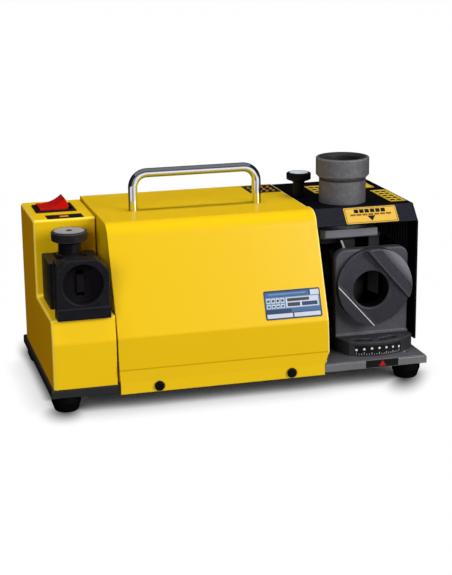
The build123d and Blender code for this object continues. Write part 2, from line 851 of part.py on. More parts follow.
def motor_cradle():
    width = cradle_width / 2
    cradle = block(
        yoke_mid - cradle_length / 2, yoke_mid + cradle_length / 2, motor_y - width, motor_y + width,
        base_top, axis_z - motor_radius * 0.55,
    )
    cradle += block(
        yoke_mid - cradle_length / 2, yoke_mid + cradle_length / 2,
        motor_y - width - 15, motor_y + width + 15,
        base_top, base_top + cradle_foot,
    )
    cradle -= rod_x(yoke_mid - cradle_length, yoke_mid + cradle_length, motor_y, axis_z, motor_radius + fit)
    for x, y in cradle_screw_places:
        cradle -= rod_z(x, y, base_top - 1, base_top + cradle_foot + 1, panel_screw_radius)
    return cradle


def motor_screws():
    screws = Part() + [
        screw(
            x, y, base_top + cradle_foot, HEAD_UP,
            panel_screw_head, 4.0, panel_screw_radius, cradle_foot + base_thickness - 0.5,
        )
        for x, y in cradle_screw_places
    ]
    for y, z in face_screw_places:
        screws += screw(
            divider_x1, y, z, HEAD_RIGHT, panel_screw_head, 2.4, face_screw_radius, divider_sheet + 9,
        )
    return screws


def carbon_brushes():
    reach = motor_radius - motor_wall
    brushes = Part()
    for way in (-1, 1):
        near = motor_y + way * (commutator_radius + air)
        far = motor_y + way * reach
        brushes += block(
            commutator_x0 + 3, commutator_x1 - 3, min(near, far), max(near, far), axis_z - 4, axis_z + 4,
        )
    return brushes - rod_x(motor_x0, motor_x1, motor_y, axis_z, commutator_radius + air) - (
        rod_x(motor_x0, motor_x1, motor_y, axis_z, motor_radius)
        - rod_x(motor_x0, motor_x1, motor_y, axis_z, reach - fit)
    )


# Turning spindle: shaft with the armature, fan and grinding wheel
hub_x0 = wheel_x0 - 20.0
bolt_washer = 2.5
bolt_recess = 9.0
bolt_radius = 3.0


def motor_shaft():
    shaft = turned_x(
        motor_y, axis_z,
        (rear_bearing_x0 + 0.5, 0), (rear_bearing_x0 + 0.5, shaft_rear_radius - fit),
        (rear_bearing_x1 + 0.5, shaft_rear_radius - fit), (rear_bearing_x1 + 0.5, shaft_radius - fit),
        (hub_x0, shaft_radius - fit), (hub_x0, shaft_nose_radius - fit),
        (wheel_x1 - bolt_recess - 1, shaft_nose_radius - fit), (wheel_x1 - bolt_recess - 1, 0),
    )
    return shaft - rod_x(wheel_x0 - 12, wheel_x1, motor_y, axis_z, bolt_radius)


def armature_core():
    core = rod_x(armature_x0, armature_x1, motor_y, axis_z, armature_radius)
    core -= rod_x(armature_x0 - 1, armature_x1 + 1, motor_y, axis_z, shaft_radius)
    slot_depth = armature_radius * 0.32
    slot_width = armature_radius * 0.16
    slot = block(
        armature_x0 - 1, armature_x1 + 1, -slot_width / 2, slot_width / 2,
        armature_radius - slot_depth, armature_radius + 1,
    )
    slots = [
        Pos(0, motor_y, axis_z) * Rot(i * 360 / armature_slots, 0, 0) * slot
        for i in range(armature_slots)
    ]
    return core - slots


def armature_windings():
    inner = shaft_radius + 1
    outer = armature_radius * 0.84
    rings = Part()
    for x0, way in ((armature_x0, -1), (armature_x1, 1)):
        x1 = x0 + way * winding_overhang
        rings += turned_x(
            motor_y, axis_z, (x0, inner), (x0, outer), (x0 + way * winding_overhang * 0.6, outer),
            (x1, outer - 4), (x1, inner),
        )
    return rings


def commutator():
    ring = rod_x(commutator_x0, commutator_x1, motor_y, axis_z, commutator_radius)
    return ring - rod_x(commutator_x0 - 1, commutator_x1 + 1, motor_y, axis_z, shaft_radius)


fan_blades = 9


def cooling_fan():
    hub = rod_x(fan_x0, fan_x1, motor_y, axis_z, shaft_radius + 4)
    blade = Rot(0, 0, 25) * block(-0.9, 0.9, -4.5, 4.5, shaft_radius + 2, armature_radius)
    blade &= block(-(fan_x1 - fan_x0) / 2, (fan_x1 - fan_x0) / 2, -9, 9, 0, armature_radius)
    for i in range(fan_blades):
        hub += Pos((fan_x0 + fan_x1) / 2, motor_y, axis_z) * Rot(i * 360 / fan_blades, 0, 0) * blade
    return hub - rod_x(fan_x0 - 1, fan_x1 + 1, motor_y, axis_z, shaft_radius)


def wheel_hub():
    return turned_x(
        motor_y, axis_z,
        (hub_x0 + 0.5, shaft_nose_radius), (hub_x0 + 0.5, hub_radius * 0.56),
        (wheel_x0 - 6, hub_radius * 0.56),
        (wheel_x0 - 6, hub_radius), (wheel_x0, hub_radius), (wheel_x0, shaft_nose_radius),
    )


def wheel_core():
    front = wheel_radius - wheel_thickness * wheel_slope
    skin = band_thickness
    recess = hub_radius * 0.52
    return turned_x(
        motor_y, axis_z,
        (wheel_x0, shaft_nose_radius), (wheel_x0, wheel_radius - skin), (wheel_x1, front - skin),
        (wheel_x1, recess), (wheel_x1 - bolt_recess, recess), (wheel_x1 - bolt_recess, shaft_nose_radius),
    )


def abrasive_band():
    front = wheel_radius - wheel_thickness * wheel_slope
    return turned_x(
        motor_y, axis_z,
        (wheel_x0, wheel_radius - band_thickness), (wheel_x0, wheel_radius), (wheel_x1, front),
        (wheel_x1, front - band_thickness),
    )


def wheel_bolt():
    seat = wheel_x1 - bolt_recess
    washer = rod_x(seat, seat + bolt_washer, motor_y, axis_z, hub_radius * 0.44)
    head = rod_x(seat + bolt_washer, seat + bolt_washer + 5, motor_y, axis_z, bolt_radius * 1.8)
    socket = prism_x(seat + bolt_washer + 2, seat + bolt_washer + 6, RegularPolygon(bolt_radius * 0.9, 6))
    shank = rod_x(wheel_x0 - 10, seat, motor_y, axis_z, bolt_radius - fit)
    return washer + head + shank - Pos(0, motor_y, axis_z) * socket


# Rocker switch: bezel and tub in the housing's top, with a rocker on moulded trunnions
rocker_open_x = switch_length / 2 - switch_border
tub_bottom = housing_top - switch_depth


def switch_housing():
    bezel = block(
        switch_x - switch_length / 2, switch_x + switch_length / 2,
        switch_y - switch_width / 2, switch_y + switch_width / 2, housing_top, bezel_top,
    )
    bezel = chamfer(bezel.edges().group_by(Axis.Z)[-1], 1.0)
    tub_x = rocker_open_x + switch_wall
    tub_y = switch_width / 2 - switch_edge
    body = bezel + block(
        switch_x - tub_x, switch_x + tub_x, switch_y - tub_y, switch_y + tub_y, tub_bottom, housing_top,
    )
    body -= block(
        switch_x - rocker_open_x, switch_x + rocker_open_x,
        switch_y - rocker_width / 2 - air, switch_y + rocker_width / 2 + air, tub_bottom + 8, bezel_top + 1,
    )
    reach = rocker_width / 2 + rocker_trunnion_length + 2 * fit
    return body - rod_y(switch_x, switch_y - reach, switch_y + reach, rocker_z, rocker_trunnion_radius + fit)


def switch_rocker():
    sag = ThreePointArc((-rocker_half, rocker_top), (0, rocker_top - rocker_dip), (rocker_half, rocker_top))
    rim = Polyline(
        (rocker_half, rocker_top), (rocker_half + 1, 3), (rocker_half * 0.7, -3), (-rocker_half * 0.7, -3),
        (-rocker_half - 1, 3), (-rocker_half, rocker_top),
    )
    rocker = prism_y(-rocker_width / 2, rocker_width / 2, make_face([sag, rim]))
    reach = rocker_width / 2 + rocker_trunnion_length
    rocker += rod_y(0, -reach, reach, 0, rocker_trunnion_radius)
    return Pos(switch_x, switch_y, rocker_z) * Rot(0, -rocker_tilt, 0) * rocker


def switch_terminals():
    blades = Part()
    for ix in (-1, 1):
        for iy in (-1, 1):
            x, y = switch_x + ix * 7, switch_y + iy * 6
            blades += block(x - 0.4, x + 0.4, y - 3.1, y + 3.1, tub_bottom - 9, tub_bottom)
    return blades


# Control board and capacitor inside the switch housing
board_x0 = left_x + sheet + 5
board_x1 = seam_x - 6
board_y0 = 52.0
board_y1 = 138.0
board_z = base_top + 12.0
board_thickness = 1.6
standoff_radius = 3.0
capacitor_radius = 13.0


def control_board():
    board = block(board_x0, board_x1, board_y0, board_y1, board_z, board_z + board_thickness)
    sink_x = board_x0 + 6
    board += block(sink_x, sink_x + 3, board_y0 + 8, board_y0 + 38, board_z + board_thickness, board_z + 22)
    for i in range(5):
        y = board_y0 + 9 + i * 6.5
        board += block(sink_x + 3, sink_x + 11, y, y + 1.6, board_z + board_thickness, board_z + 22)
    return board


def board_standoffs():
    posts = Part()
    for x in (board_x0 + 5, board_x1 - 5):
        for y in (board_y0 + 5, board_y1 - 5):
            posts += rod_z(x, y, base_top, board_z, standoff_radius)
    return posts


def capacitor():
    x = board_x1 - capacitor_radius - 3
    y = board_y1 - capacitor_radius - 10
    bottom = board_z + board_thickness
    can = rod_z(x, y, bottom, bottom + 34, capacitor_radius)
    return chamfer(can.edges().sort_by(Axis.Z)[-1], 1.0)


# Cord gland in the switch housing's back wall
def cord_gland():
    inner = gland_radius - 2 - fit
    hexagon = prism_y(back_y, back_y + 4, RegularPolygon(gland_radius + 1.5, 6))
    body = Pos(gland_x, 0, gland_z) * hexagon
    body += rod_y(gland_x, back_y - sheet - 8, back_y + 9, gland_z, inner)
    body += rod_y(gland_x, back_y - sheet - 5, back_y - sheet, gland_z, gland_radius)
    return body - rod_y(gland_x, back_y - 20, back_y + 20, gland_z, inner - 2.6)


# Drill setting gauge: cast block on the ledge with a blind chuck bore, a stop and a setting knob
gauge_front_y = 0.0
gauge_floor_y = gauge_front_y + gauge_bore_depth + gauge_recess_depth
gauge_cavity = 9.0
gauge_blade = 6.0
gauge_stop_z0 = gauge_z - 9.0
gauge_stop_z1 = gauge_z + 5.0


def gauge_block():
    half = gauge_width / 2
    top = ledge_z + gauge_height
    face = outline([
        (gauge_x - half, ledge_z), (gauge_x + half, ledge_z), (gauge_x + half, top - gauge_corner),
        (gauge_x + half - gauge_corner, top), (gauge_x - half + gauge_corner, top),
        (gauge_x - half, top - gauge_corner),
    ])
    upper = [v for v in face.vertices() if v.Y > ledge_z + 1]
    plate = prism_y(gauge_front_y, gauge_plate, fillet(upper, gauge_round))
    plate = chamfer(plate.edges().group_by(Axis.Y)[0].filter_by(lambda e: e.center().Z > ledge_z + 1), 0.8)
    body = plate + block(
        gauge_x - half, gauge_x + half, gauge_front_y - gauge_step, gauge_plate,
        ledge_z, ledge_z + gauge_step_height,
    )
    waist = gauge_waist / 2
    body += block(gauge_x - waist, gauge_x + waist, gauge_plate, gauge_rear_y, ledge_z, gauge_boss_top)
    body += block(
        gauge_x - half, gauge_x + half, gauge_rear_y, gauge_rear_end_y, ledge_z, ledge_z + gauge_rear_height,
    )
    body += rod_z(gauge_knob_x, gauge_knob_y, ledge_z, gauge_boss_top, gauge_knob_neck + 2)
    body -= rod_y(gauge_x, gauge_front_y - 5, gauge_front_y + gauge_bore_depth, gauge_z, chuck_bore_radius)
    body -= rod_y(gauge_x, gauge_front_y, gauge_floor_y, gauge_z, gauge_recess_radius)
    mouth = chuck_bore_radius + 1.0
    body -= Pos(gauge_x, gauge_front_y + 0.5, gauge_z) * Rot(90, 0, 0) * Cone(chuck_bore_radius, mouth, 1.0)
    body -= block(
        gauge_knob_x - gauge_cavity, gauge_knob_x + gauge_cavity,
        gauge_knob_y - gauge_cavity, gauge_knob_y + gauge_cavity,
        gauge_stop_z0 - gauge_travel - 1, gauge_stop_z1 + gauge_travel + 1,
    )
    body -= block(
        gauge_x - gauge_blade / 2 - air, gauge_x + gauge_blade / 2 + air, gauge_floor_y - 1, gauge_knob_y,
        gauge_stop_z0 - gauge_travel - 1, gauge_stop_z1 + gauge_travel + 1,
    )
    body -= rod_z(gauge_knob_x, gauge_knob_y, gauge_stop_z1, gauge_boss_top + 1, gauge_spindle_radius + fit)
    body -= rod_y(gauge_pin_x, gauge_floor_y - 1, gauge_floor_y + 8, gauge_pin_z, gauge_pin_radius)
    for x, y in gauge_screw_places:
        body -= rod_z(x, y, ledge_z - 1, ledge_z + 9, panel_screw_radius)
    return body


gauge_pin_radius = 1.8
gauge_pin_x = gauge_x + 5.6
gauge_pin_z = gauge_z + (
    (gauge_recess_radius - gauge_pin_radius - 0.5) ** 2 - (gauge_pin_x - gauge_x) ** 2
) ** 0.5


def gauge_pin():
    return rod_y(gauge_pin_x, gauge_floor_y - 3, gauge_floor_y + 8, gauge_pin_z, gauge_pin_radius - fit)


def gauge_screws():
    return Part() + [
        screw(
            x, y, ledge_z - sheet, HEAD_DOWN,
            panel_screw_head, panel_screw_head_height, panel_screw_radius, sheet + 8,
        )
        for x, y in gauge_screw_places
    ]


def gauge_stop():
    side = gauge_cavity - air
    nut = block(
        gauge_knob_x - side, gauge_knob_x + side, gauge_knob_y - side, gauge_knob_y + side,
        gauge_stop_z0, gauge_stop_z1,
    )
    blade = block(
        gauge_x - gauge_blade / 2, gauge_x + gauge_blade / 2, gauge_floor_y - 2.5, gauge_knob_y - side + 1,
        gauge_stop_z0, gauge_stop_z1,
    )
    hole = rod_z(gauge_knob_x, gauge_knob_y, gauge_stop_z0 - 1, gauge_stop_z1 + 1, gauge_spindle_radius + fit)
    return nut + blade - hole


gauge_knob_bottom = gauge_boss_top + air
gauge_knob_top = gauge_knob_bottom + gauge_knob_neck_height + gauge_knob_rim
knob_cap = 0.8


def gauge_knob():
    shoulder = gauge_knob_bottom + gauge_knob_neck_height
    knob = turned_z(
        gauge_knob_x, gauge_knob_y,
        (gauge_spindle_radius, gauge_knob_bottom), (gauge_knob_neck, gauge_knob_bottom),
        (gauge_knob_neck, shoulder - 1.5), (gauge_knob_radius - 1.5, shoulder),
        (gauge_knob_radius, shoulder + 1.0), (gauge_knob_radius, gauge_knob_top - 0.5),
        (gauge_knob_radius - 0.5, gauge_knob_top), (gauge_knob_radius - gauge_knob_edge, gauge_knob_top),
        (gauge_knob_radius - gauge_knob_edge, gauge_knob_top - knob_cap),
        (gauge_spindle_radius, gauge_knob_top - knob_cap),
    )
    return knob


def gauge_knob_cap():
    cap = rod_z(
        gauge_knob_x, gauge_knob_y,
        gauge_knob_top - knob_cap, gauge_knob_top + 0.4, gauge_knob_radius - gauge_knob_edge - fit,
    )
    cap = chamfer(cap.edges().sort_by(Axis.Z)[-1], 0.3)
    return cap - rod_z(gauge_knob_x, gauge_knob_y, gauge_knob_top - 2, gauge_knob_top + 2, knob_screw_radius)


knob_screw_radius = 2.4


# Spindle of the setting knob, with its socket screw end showing through the cap
def gauge_spindle():
    stem = turned_z(
        gauge_knob_x, gauge_knob_y,
        (0, gauge_stop_z0 - gauge_travel), (gauge_spindle_radius - fit / 2, gauge_stop_z0 - gauge_travel),
        (gauge_spindle_radius - fit / 2, gauge_knob_top - knob_cap),
        (knob_screw_radius - fit, gauge_knob_top - knob_cap),
        (knob_screw_radius - fit, gauge_knob_top + 0.7), (0, gauge_knob_top + 0.7),
    )
    socket = prism_z(gauge_knob_top - 1.5, gauge_knob_top + 2, RegularPolygon(1.5, 6))
    return stem - Pos(gauge_knob_x, gauge_knob_y, 0) * socket


# Swivel base: arc-fronted foot that turns about the point where the drill meets the wheel
swivel_pin_hole = pivot_radius + fit


def arc_slot(angle, width):
    ends = (angle - swivel_high - 0.5, angle - (swivel_high + swivel_low) / 2, angle - swivel_low + 0.5)
    points = [(lock_radius * sin(radians(a)), -lock_radius * cos(radians(a))) for a in ends]
    return SlotArc(ThreePointArc(*points), width)


def swivel_base():
    corner_y = -(swivel_radius**2 - swivel_corner**2) ** 0.5
    end_y = -(swivel_radius**2 - holder_right**2) ** 0.5
    waist_y = holder_back_y + 2 - pivot_y
    front = ThreePointArc((-swivel_corner, corner_y), (0, -swivel_radius), (holder_right, end_y))
    sides = Polyline(
        (holder_right, end_y), (holder_right, waist_y), (swivel_boss_radius, 0), (-swivel_boss_radius, 0),
        (holder_left, waist_y), (holder_left, holder_front_y - pivot_y), (-swivel_corner, corner_y),
    )
    plan = make_face([front, sides]) + Circle(swivel_boss_radius)
    plan -= Circle(swivel_pin_hole)
    pivot = Pos(port_x, pivot_y)
    base = prism_z(base_top, swivel_top, pivot * plan)
    for angle in lock_angles:
        shank_slot = arc_slot(angle, 2 * (lock_screw_radius + slot_play))
        head_slot = arc_slot(angle, 2 * (lock_head_radius + slot_play))
        base -= prism_z(base_top - 1, swivel_top + 1, pivot * shank_slot)
        base -= prism_z(lock_seat, swivel_top + 1, pivot * head_slot)
    for x, y in holder_screw_places:
        base -= rod_z(x, y, base_top - 1, swivel_top + 1, panel_screw_radius)
        base -= rod_z(x, y, base_top - 1, base_top + 4.2, panel_screw_head + air)
    return base


holder_screw_places = [(port_x + side * 20, (holder_front_y + holder_back_y) / 2) for side in (-1, 1)]
disc_screw_circle = 26.0
disc_screw_angles = (135, 315)


def disc_screw_places():
    return [
        (port_x + disc_screw_circle * cos(radians(a)), axis_z + disc_screw_circle * sin(radians(a)))
        for a in disc_screw_angles
    ]


# Holder plate: upright plate with rounded shoulders that carries the cam disc
def holder_plate():
    x0 = port_x + holder_left
    x1 = port_x + holder_right
    top = swivel_top + holder_height
    face = outline([(x0, swivel_top), (x1, swivel_top), (x1, top), (x0, top)])
    face = fillet(face.vertices().group_by(Axis.Y)[-1], holder_corner)
    plate = prism_y(holder_front_y, holder_back_y, face)
    rim = plate.edges().group_by(Axis.Y)[0].filter_by(lambda e: e.center().Z > swivel_top + 1)
    plate = chamfer(rim, 1.0)
    step = block(
        x0, x1, holder_front_y - holder_step, holder_front_y + 1, swivel_top, swivel_top + holder_step_height,
    )
    step_edge = step.edges().filter_by(Axis.X).group_by(Axis.Z)[-1].sort_by(Axis.Y)[0]
    plate += chamfer(step_edge, 0.8)
    plate -= rod_y(port_x, holder_front_y - 1, holder_back_y + 1, axis_z, disc_spigot_radius + fit)
    for x, y in holder_screw_places:
        plate -= rod_z(x, y, swivel_top - 1, swivel_top + 9, panel_screw_radius)
    for x, z in disc_screw_places():
        plate -= rod_y(x, holder_front_y - 1, holder_back_y + 1, z, panel_screw_radius)
    return plate


# Screws of the holder: two up through the swivel base, two from behind into the cam disc
def holder_screws():
    screws = Part() + [
        screw(
            x, y, base_top + 4.2, HEAD_DOWN, panel_screw_head, 3.2, panel_screw_radius, swivel_thickness + 4,
        )
        for x, y in holder_screw_places
    ]
    for x, z in disc_screw_places():
        screws += screw(
            x, holder_back_y, z, HEAD_BACK,
            panel_screw_head, panel_screw_head_height, panel_screw_radius,
            holder_thickness + disc_thickness - 1.5,
        )
    return screws


# One raised land of the cam disc, built along the chord: ramped along its length, with a bevelled outer part
def cam_land():
    reach = disc_radius + disc_shift + 1
    top = land_height + land_rise + 2
    section = outline([
        (land_inner, -1), (land_inner, 0), (land_inner + top * tan(radians(land_draft)), top), (reach, top),
        (reach, -1),
    ])
    land = extrude(Plane.XZ * section, reach, both=True)
    tilt = degrees(atan(land_rise / land_inner))
    cap = Pos(0, 0, land_height) * Rot(tilt, 0, 0) * (Pos(reach, 0, 20) * Box(4 * reach, 4 * reach, 40))
    land -= cap
    bevel = Pos(land_bevel_start, 0, land_height) * Rot(tilt, land_bevel_angle, 0)
    land -= bevel * (Pos(20, 0, 20) * Box(40, 4 * reach, 40))
    edge_start = land_inner + land_height * tan(radians(land_draft)) + land_edge
    edge = Pos(edge_start, 0, land_height) * Rot(tilt, -45, 0)
    return land - edge * (Pos(-20, 0, 20) * Box(40, 4 * reach, 40))


# Cam disc: bored disc, set off from its bore, with two opposed ramped lands that rock the chuck as it turns
def cam_disc():
    spigot_length = disc_thickness + holder_thickness
    land = cam_land()
    rim = Pos(disc_shift, 0, 0) * Cylinder(disc_radius, 8 * disc_thickness)
    disc = Pos(disc_shift, 0, -disc_thickness / 2) * Cylinder(disc_radius, disc_thickness)
    disc += rim & land
    disc += rim & (Rot(0, 0, 180) * land)
    disc += Pos(0, 0, -spigot_length / 2) * Cylinder(disc_spigot_radius, spigot_length)
    disc -= Cylinder(chuck_bore_radius, 4 * spigot_length)
    mouth = Cone(chuck_bore_radius, chuck_bore_radius + disc_chamfer, disc_chamfer)
    disc -= Pos(0, 0, -disc_chamfer / 2) * mouth
    seat = Pos(port_x, disc_front_y, axis_z) * Rot(90, 0, 0) * Rot(0, 0, 90 - land_angle)
    disc = seat * disc
    for x, z in disc_screw_places():
        disc -= rod_y(x, disc_front_y + 1.5, holder_front_y + 1, z, panel_screw_radius)
    return disc


# Shoulder screw that the swivel base turns on
def swivel_pivot():
    return turned_z(
        port_x, pivot_y,
        (0, 0.5), (pivot_radius - 1 - fit, 0.5), (pivot_radius - 1 - fit, base_top), (pivot_radius, base_top),
        (pivot_radius, swivel_top + fit), (pivot_radius + 3, swivel_top + fit),
        (pivot_radius + 3, swivel_top + 3),
        (pivot_radius + 2.2, swivel_top + 3.8), (0, swivel_top + 3.8),
    )


# Lock screws in the stepped arc slots, each with its washer
lock_washer = 0.8
lock_head = 3.4


def lock_screws():
    screws = Part()
    for x, y in lock_places:
        top = lock_seat + lock_washer + lock_head
        washer = rod_z(x, y, lock_seat + fit, lock_seat + lock_washer, lock_head_radius)
        head = rod_z(x, y, lock_seat + lock_washer, top, lock_head_radius - 0.3)
        socket = Pos(x, y, 0) * prism_z(top - 1.8, top + 1, RegularPolygon(1.7, 6))
        shank = rod_z(x, y, 0.5, lock_seat + lock_washer, lock_screw_radius - fit)
        screws += washer + head + shank - socket
    return screws


# Thinning knob on its stem, its spindle in the bracket, and the stop arm that the spindle raises
thinning_collar_radius = 5.0
thinning_knob_top = cover_top + thinning_knob_rise
stop_top = bracket_bottom - thinning_travel - 0.6
stop_thickness = 9.0
stop_bottom = stop_top - stop_thickness
stop_front_y = bracket_front_y + 6.0
stop_arm_height = 4.0
stop_arm_depth = 7.0
stop_arm_width = 8.0
stop_tip_x0 = bracket_x0 + 19.0
stop_tip_x1 = stop_tip_x0 + 13.0


def thinning_knob():
    top = thinning_knob_top
    rim = thinning_knob_rim
    return turned_z(
        thinning_knob_x, thinning_knob_y,
        (thinning_spindle_radius, cover_top + air), (thinning_stem_radius, cover_top + air),
        (thinning_stem_radius, top - rim - 5), (thinning_stem_radius + 2.4, top - rim - 2),
        (thinning_knob_radius - 0.8, top - rim), (thinning_knob_radius, top - rim + 0.8),
        (thinning_knob_radius, top - 0.6), (thinning_knob_radius - 0.6, top),
        (thinning_knob_radius - 1.2, top), (thinning_knob_radius - 1.2, top - knob_cap),
        (thinning_spindle_radius, top - knob_cap),
    )


def thinning_knob_cap():
    cap = rod_z(
        thinning_knob_x, thinning_knob_y,
        thinning_knob_top - knob_cap, thinning_knob_top + 0.3, thinning_knob_radius - 1.2 - fit,
    )
    return chamfer(cap.edges().sort_by(Axis.Z)[-1], 0.25)


def thinning_spindle():
    thread = thinning_spindle_radius - fit / 2
    bottom = stop_bottom - thinning_travel - 2
    return turned_z(
        thinning_knob_x, thinning_knob_y,
        (0, bottom), (thread, bottom), (thread, bracket_top + air),
        (thinning_collar_radius, bracket_top + air),
        (thinning_collar_radius, bracket_top + 3), (thread, bracket_top + 3),
        (thread, thinning_knob_top - knob_cap), (0, thinning_knob_top - knob_cap),
    )


def thinning_stop():
    x = thinning_knob_x
    y = thinning_knob_y
    arm_bottom = stop_top - stop_arm_height
    arm_y = stop_front_y + stop_arm_width
    arm = block(x - 0.5, x + stop_arm_width, arm_y, y - 6, arm_bottom, stop_top)
    arm += block(x, stop_tip_x0 + 2, arm_y, arm_y + stop_arm_depth, arm_bottom, stop_top)
    arm += block(x - 5.5, x + stop_arm_width, y - 7, y + 7, stop_bottom, stop_top)
    tip = outline([
        (stop_tip_x0, stop_top), (stop_tip_x0 + 3.4, stop_bottom), (stop_tip_x1, stop_bottom),
        (stop_tip_x1, stop_top),
    ])
    arm += prism_y(stop_front_y, arm_y + 1, tip)
    return arm - rod_z(x, y, stop_bottom - 1, stop_top + 1, thinning_spindle_radius + fit)


pieces = {
    "base_plate": base_plate, "rubber_feet": rubber_feet, "foot_screws": foot_screws,
    "left_housing": left_housing, "center_cover": center_cover, "cover_screws": cover_screws,
    "carry_handle": carry_handle, "handle_screws": handle_screws, "rear_panel": rear_panel,
    "divider_wall": divider_wall, "grinding_hood": grinding_hood, "hood_side": hood_side,
    "panel_screws": panel_screws, "port_bracket": port_bracket, "thinning_port_tube": thinning_port_tube,
    "thinning_port_sleeve": thinning_port_sleeve, "grit_deflector": grit_deflector,
    "motor_yoke": motor_yoke, "field_magnets": field_magnets, "motor_front_cap": motor_front_cap,
    "motor_rear_cap": motor_rear_cap, "motor_cradle": motor_cradle, "motor_screws": motor_screws,
    "carbon_brushes": carbon_brushes,
    "front_bearing": lambda: bearing(front_bearing_x0, front_bearing_x1, front_bearing_radius, shaft_radius),
    "rear_bearing": lambda: bearing(rear_bearing_x0, rear_bearing_x1, rear_bearing_radius, shaft_rear_radius),
    "motor_shaft": motor_shaft, "armature_core": armature_core, "armature_windings": armature_windings,
    "commutator": commutator, "cooling_fan": cooling_fan, "wheel_hub": wheel_hub, "wheel_core": wheel_core,
    "abrasive_band": abrasive_band, "wheel_bolt": wheel_bolt,
    "switch_housing": switch_housing, "switch_rocker": switch_rocker, "switch_terminals": switch_terminals,
    "control_board": control_board, "board_standoffs": board_standoffs, "capacitor": capacitor,
    "cord_gland": cord_gland,
    "gauge_block": gauge_block, "gauge_pin": gauge_pin, "gauge_screws": gauge_screws,
    "gauge_stop": gauge_stop, "gauge_knob": gauge_knob, "gauge_knob_cap": gauge_knob_cap,
    "gauge_spindle": gauge_spindle, "swivel_base": swivel_base, "holder_plate": holder_plate,
    "holder_screws": holder_screws, "cam_disc": cam_disc,
    "swivel_pivot": swivel_pivot, "lock_screws": lock_screws,
    "thinning_knob": thinning_knob, "thinning_knob_cap": thinning_knob_cap,
    "thinning_spindle": thinning_spindle, "thinning_stop": thinning_stop,
}

# The row's origin is the middle of the outer box, on the surface that the feet stand on
front_most = -sheet - cover_screw_head
back_most = back_y + 9
place = Pos(-(hood_x1 - base_length / 2) / 2, -(front_most + back_most) / 2, foot_height)

for name, make in pieces.items():
    export_step(place * make(), f"parts/{name}.step")
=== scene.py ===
from math import cos, pi, radians, sin

import bmesh
import bpy
from mathutils import Matrix, Vector


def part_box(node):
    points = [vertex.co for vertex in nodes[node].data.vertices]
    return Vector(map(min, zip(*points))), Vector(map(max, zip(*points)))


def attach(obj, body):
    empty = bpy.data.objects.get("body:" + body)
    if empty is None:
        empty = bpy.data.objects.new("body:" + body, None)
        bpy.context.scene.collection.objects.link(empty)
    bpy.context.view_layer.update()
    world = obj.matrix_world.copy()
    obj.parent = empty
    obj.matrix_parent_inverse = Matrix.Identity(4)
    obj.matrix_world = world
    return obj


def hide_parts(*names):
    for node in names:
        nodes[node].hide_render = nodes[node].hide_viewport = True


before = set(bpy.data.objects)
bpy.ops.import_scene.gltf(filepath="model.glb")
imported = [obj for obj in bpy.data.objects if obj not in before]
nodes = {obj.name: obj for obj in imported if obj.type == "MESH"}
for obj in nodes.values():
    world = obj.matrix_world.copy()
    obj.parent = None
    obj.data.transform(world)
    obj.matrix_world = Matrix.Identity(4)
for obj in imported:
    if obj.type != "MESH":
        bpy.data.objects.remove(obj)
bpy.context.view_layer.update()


# Base plate: one thick steel plate, ground bare at the right, where the drill holder slides on it,
# with painted shade under the body and a painted lighter front face. Its edges are rubbed bright with a painted
# highlight.
def new_group(name, inputs, outputs):
    group = bpy.data.node_groups.new(name, "ShaderNodeTree")
    for label, value in inputs:
        kind = "NodeSocketVector" if value is None else "NodeSocketFloat"
        socket = group.interface.new_socket(label, in_out="INPUT", socket_type=kind)
        if value is not None:
            socket.default_value = value
    for label, kind in outputs:
        group.interface.new_socket(label, in_out="OUTPUT", socket_type=kind)
    return group, group.nodes.new("NodeGroupInput"), group.nodes.new("NodeGroupOutput")


def calculate(tree, operation, first, second=None, clamp=False):
    step = tree.nodes.new("ShaderNodeMath")
    step.operation = operation
    step.use_clamp = clamp
    for socket, value in zip(step.inputs, (first, second)):
        if isinstance(value, (int, float)):
            socket.default_value = value
        elif value is not None:
            tree.links.new(value, socket)
    return step.outputs[0]


def ramp(tree, value, low, high, to_low=0.0, to_high=1.0):
    step = tree.nodes.new("ShaderNodeMapRange")
    step.interpolation_type = "SMOOTHSTEP"
    for label, number in (("From Min", low), ("From Max", high), ("To Min", to_low), ("To Max", to_high)):
        step.inputs[label].default_value = number
    tree.links.new(value, step.inputs["Value"])
    return step.outputs["Result"]


def grain_group():
    group, given, out = new_group(
        "surface_grain", [("Scale", 800), ("Patch", 30), ("Stretch", 1)],
        [("Height", "NodeSocketFloat"), ("Shade", "NodeSocketFloat")],
    )
    place = group.nodes.new("ShaderNodeTexCoord")
    axes = group.nodes.new("ShaderNodeSeparateXYZ")
    group.links.new(place.outputs["Object"], axes.inputs[0])
    drawn = group.nodes.new("ShaderNodeCombineXYZ")
    group.links.new(calculate(group, "MULTIPLY", axes.outputs["X"], given.outputs["Stretch"]), drawn.inputs["X"])
    group.links.new(axes.outputs["Y"], drawn.inputs["Y"])
    group.links.new(axes.outputs["Z"], drawn.inputs["Z"])
    for vector, size, detail, result in (
        (drawn.outputs[0], "Scale", 3, "Height"), (place.outputs["Object"], "Patch", 2, "Shade"),
    ):
        noise = group.nodes.new("ShaderNodeTexNoise")
        noise.inputs["Detail"].default_value = detail
        group.links.new(vector, noise.inputs["Vector"])
        group.links.new(given.outputs[size], noise.inputs["Scale"])
        group.links.new(noise.outputs["Fac"], out.inputs[result])
    return group
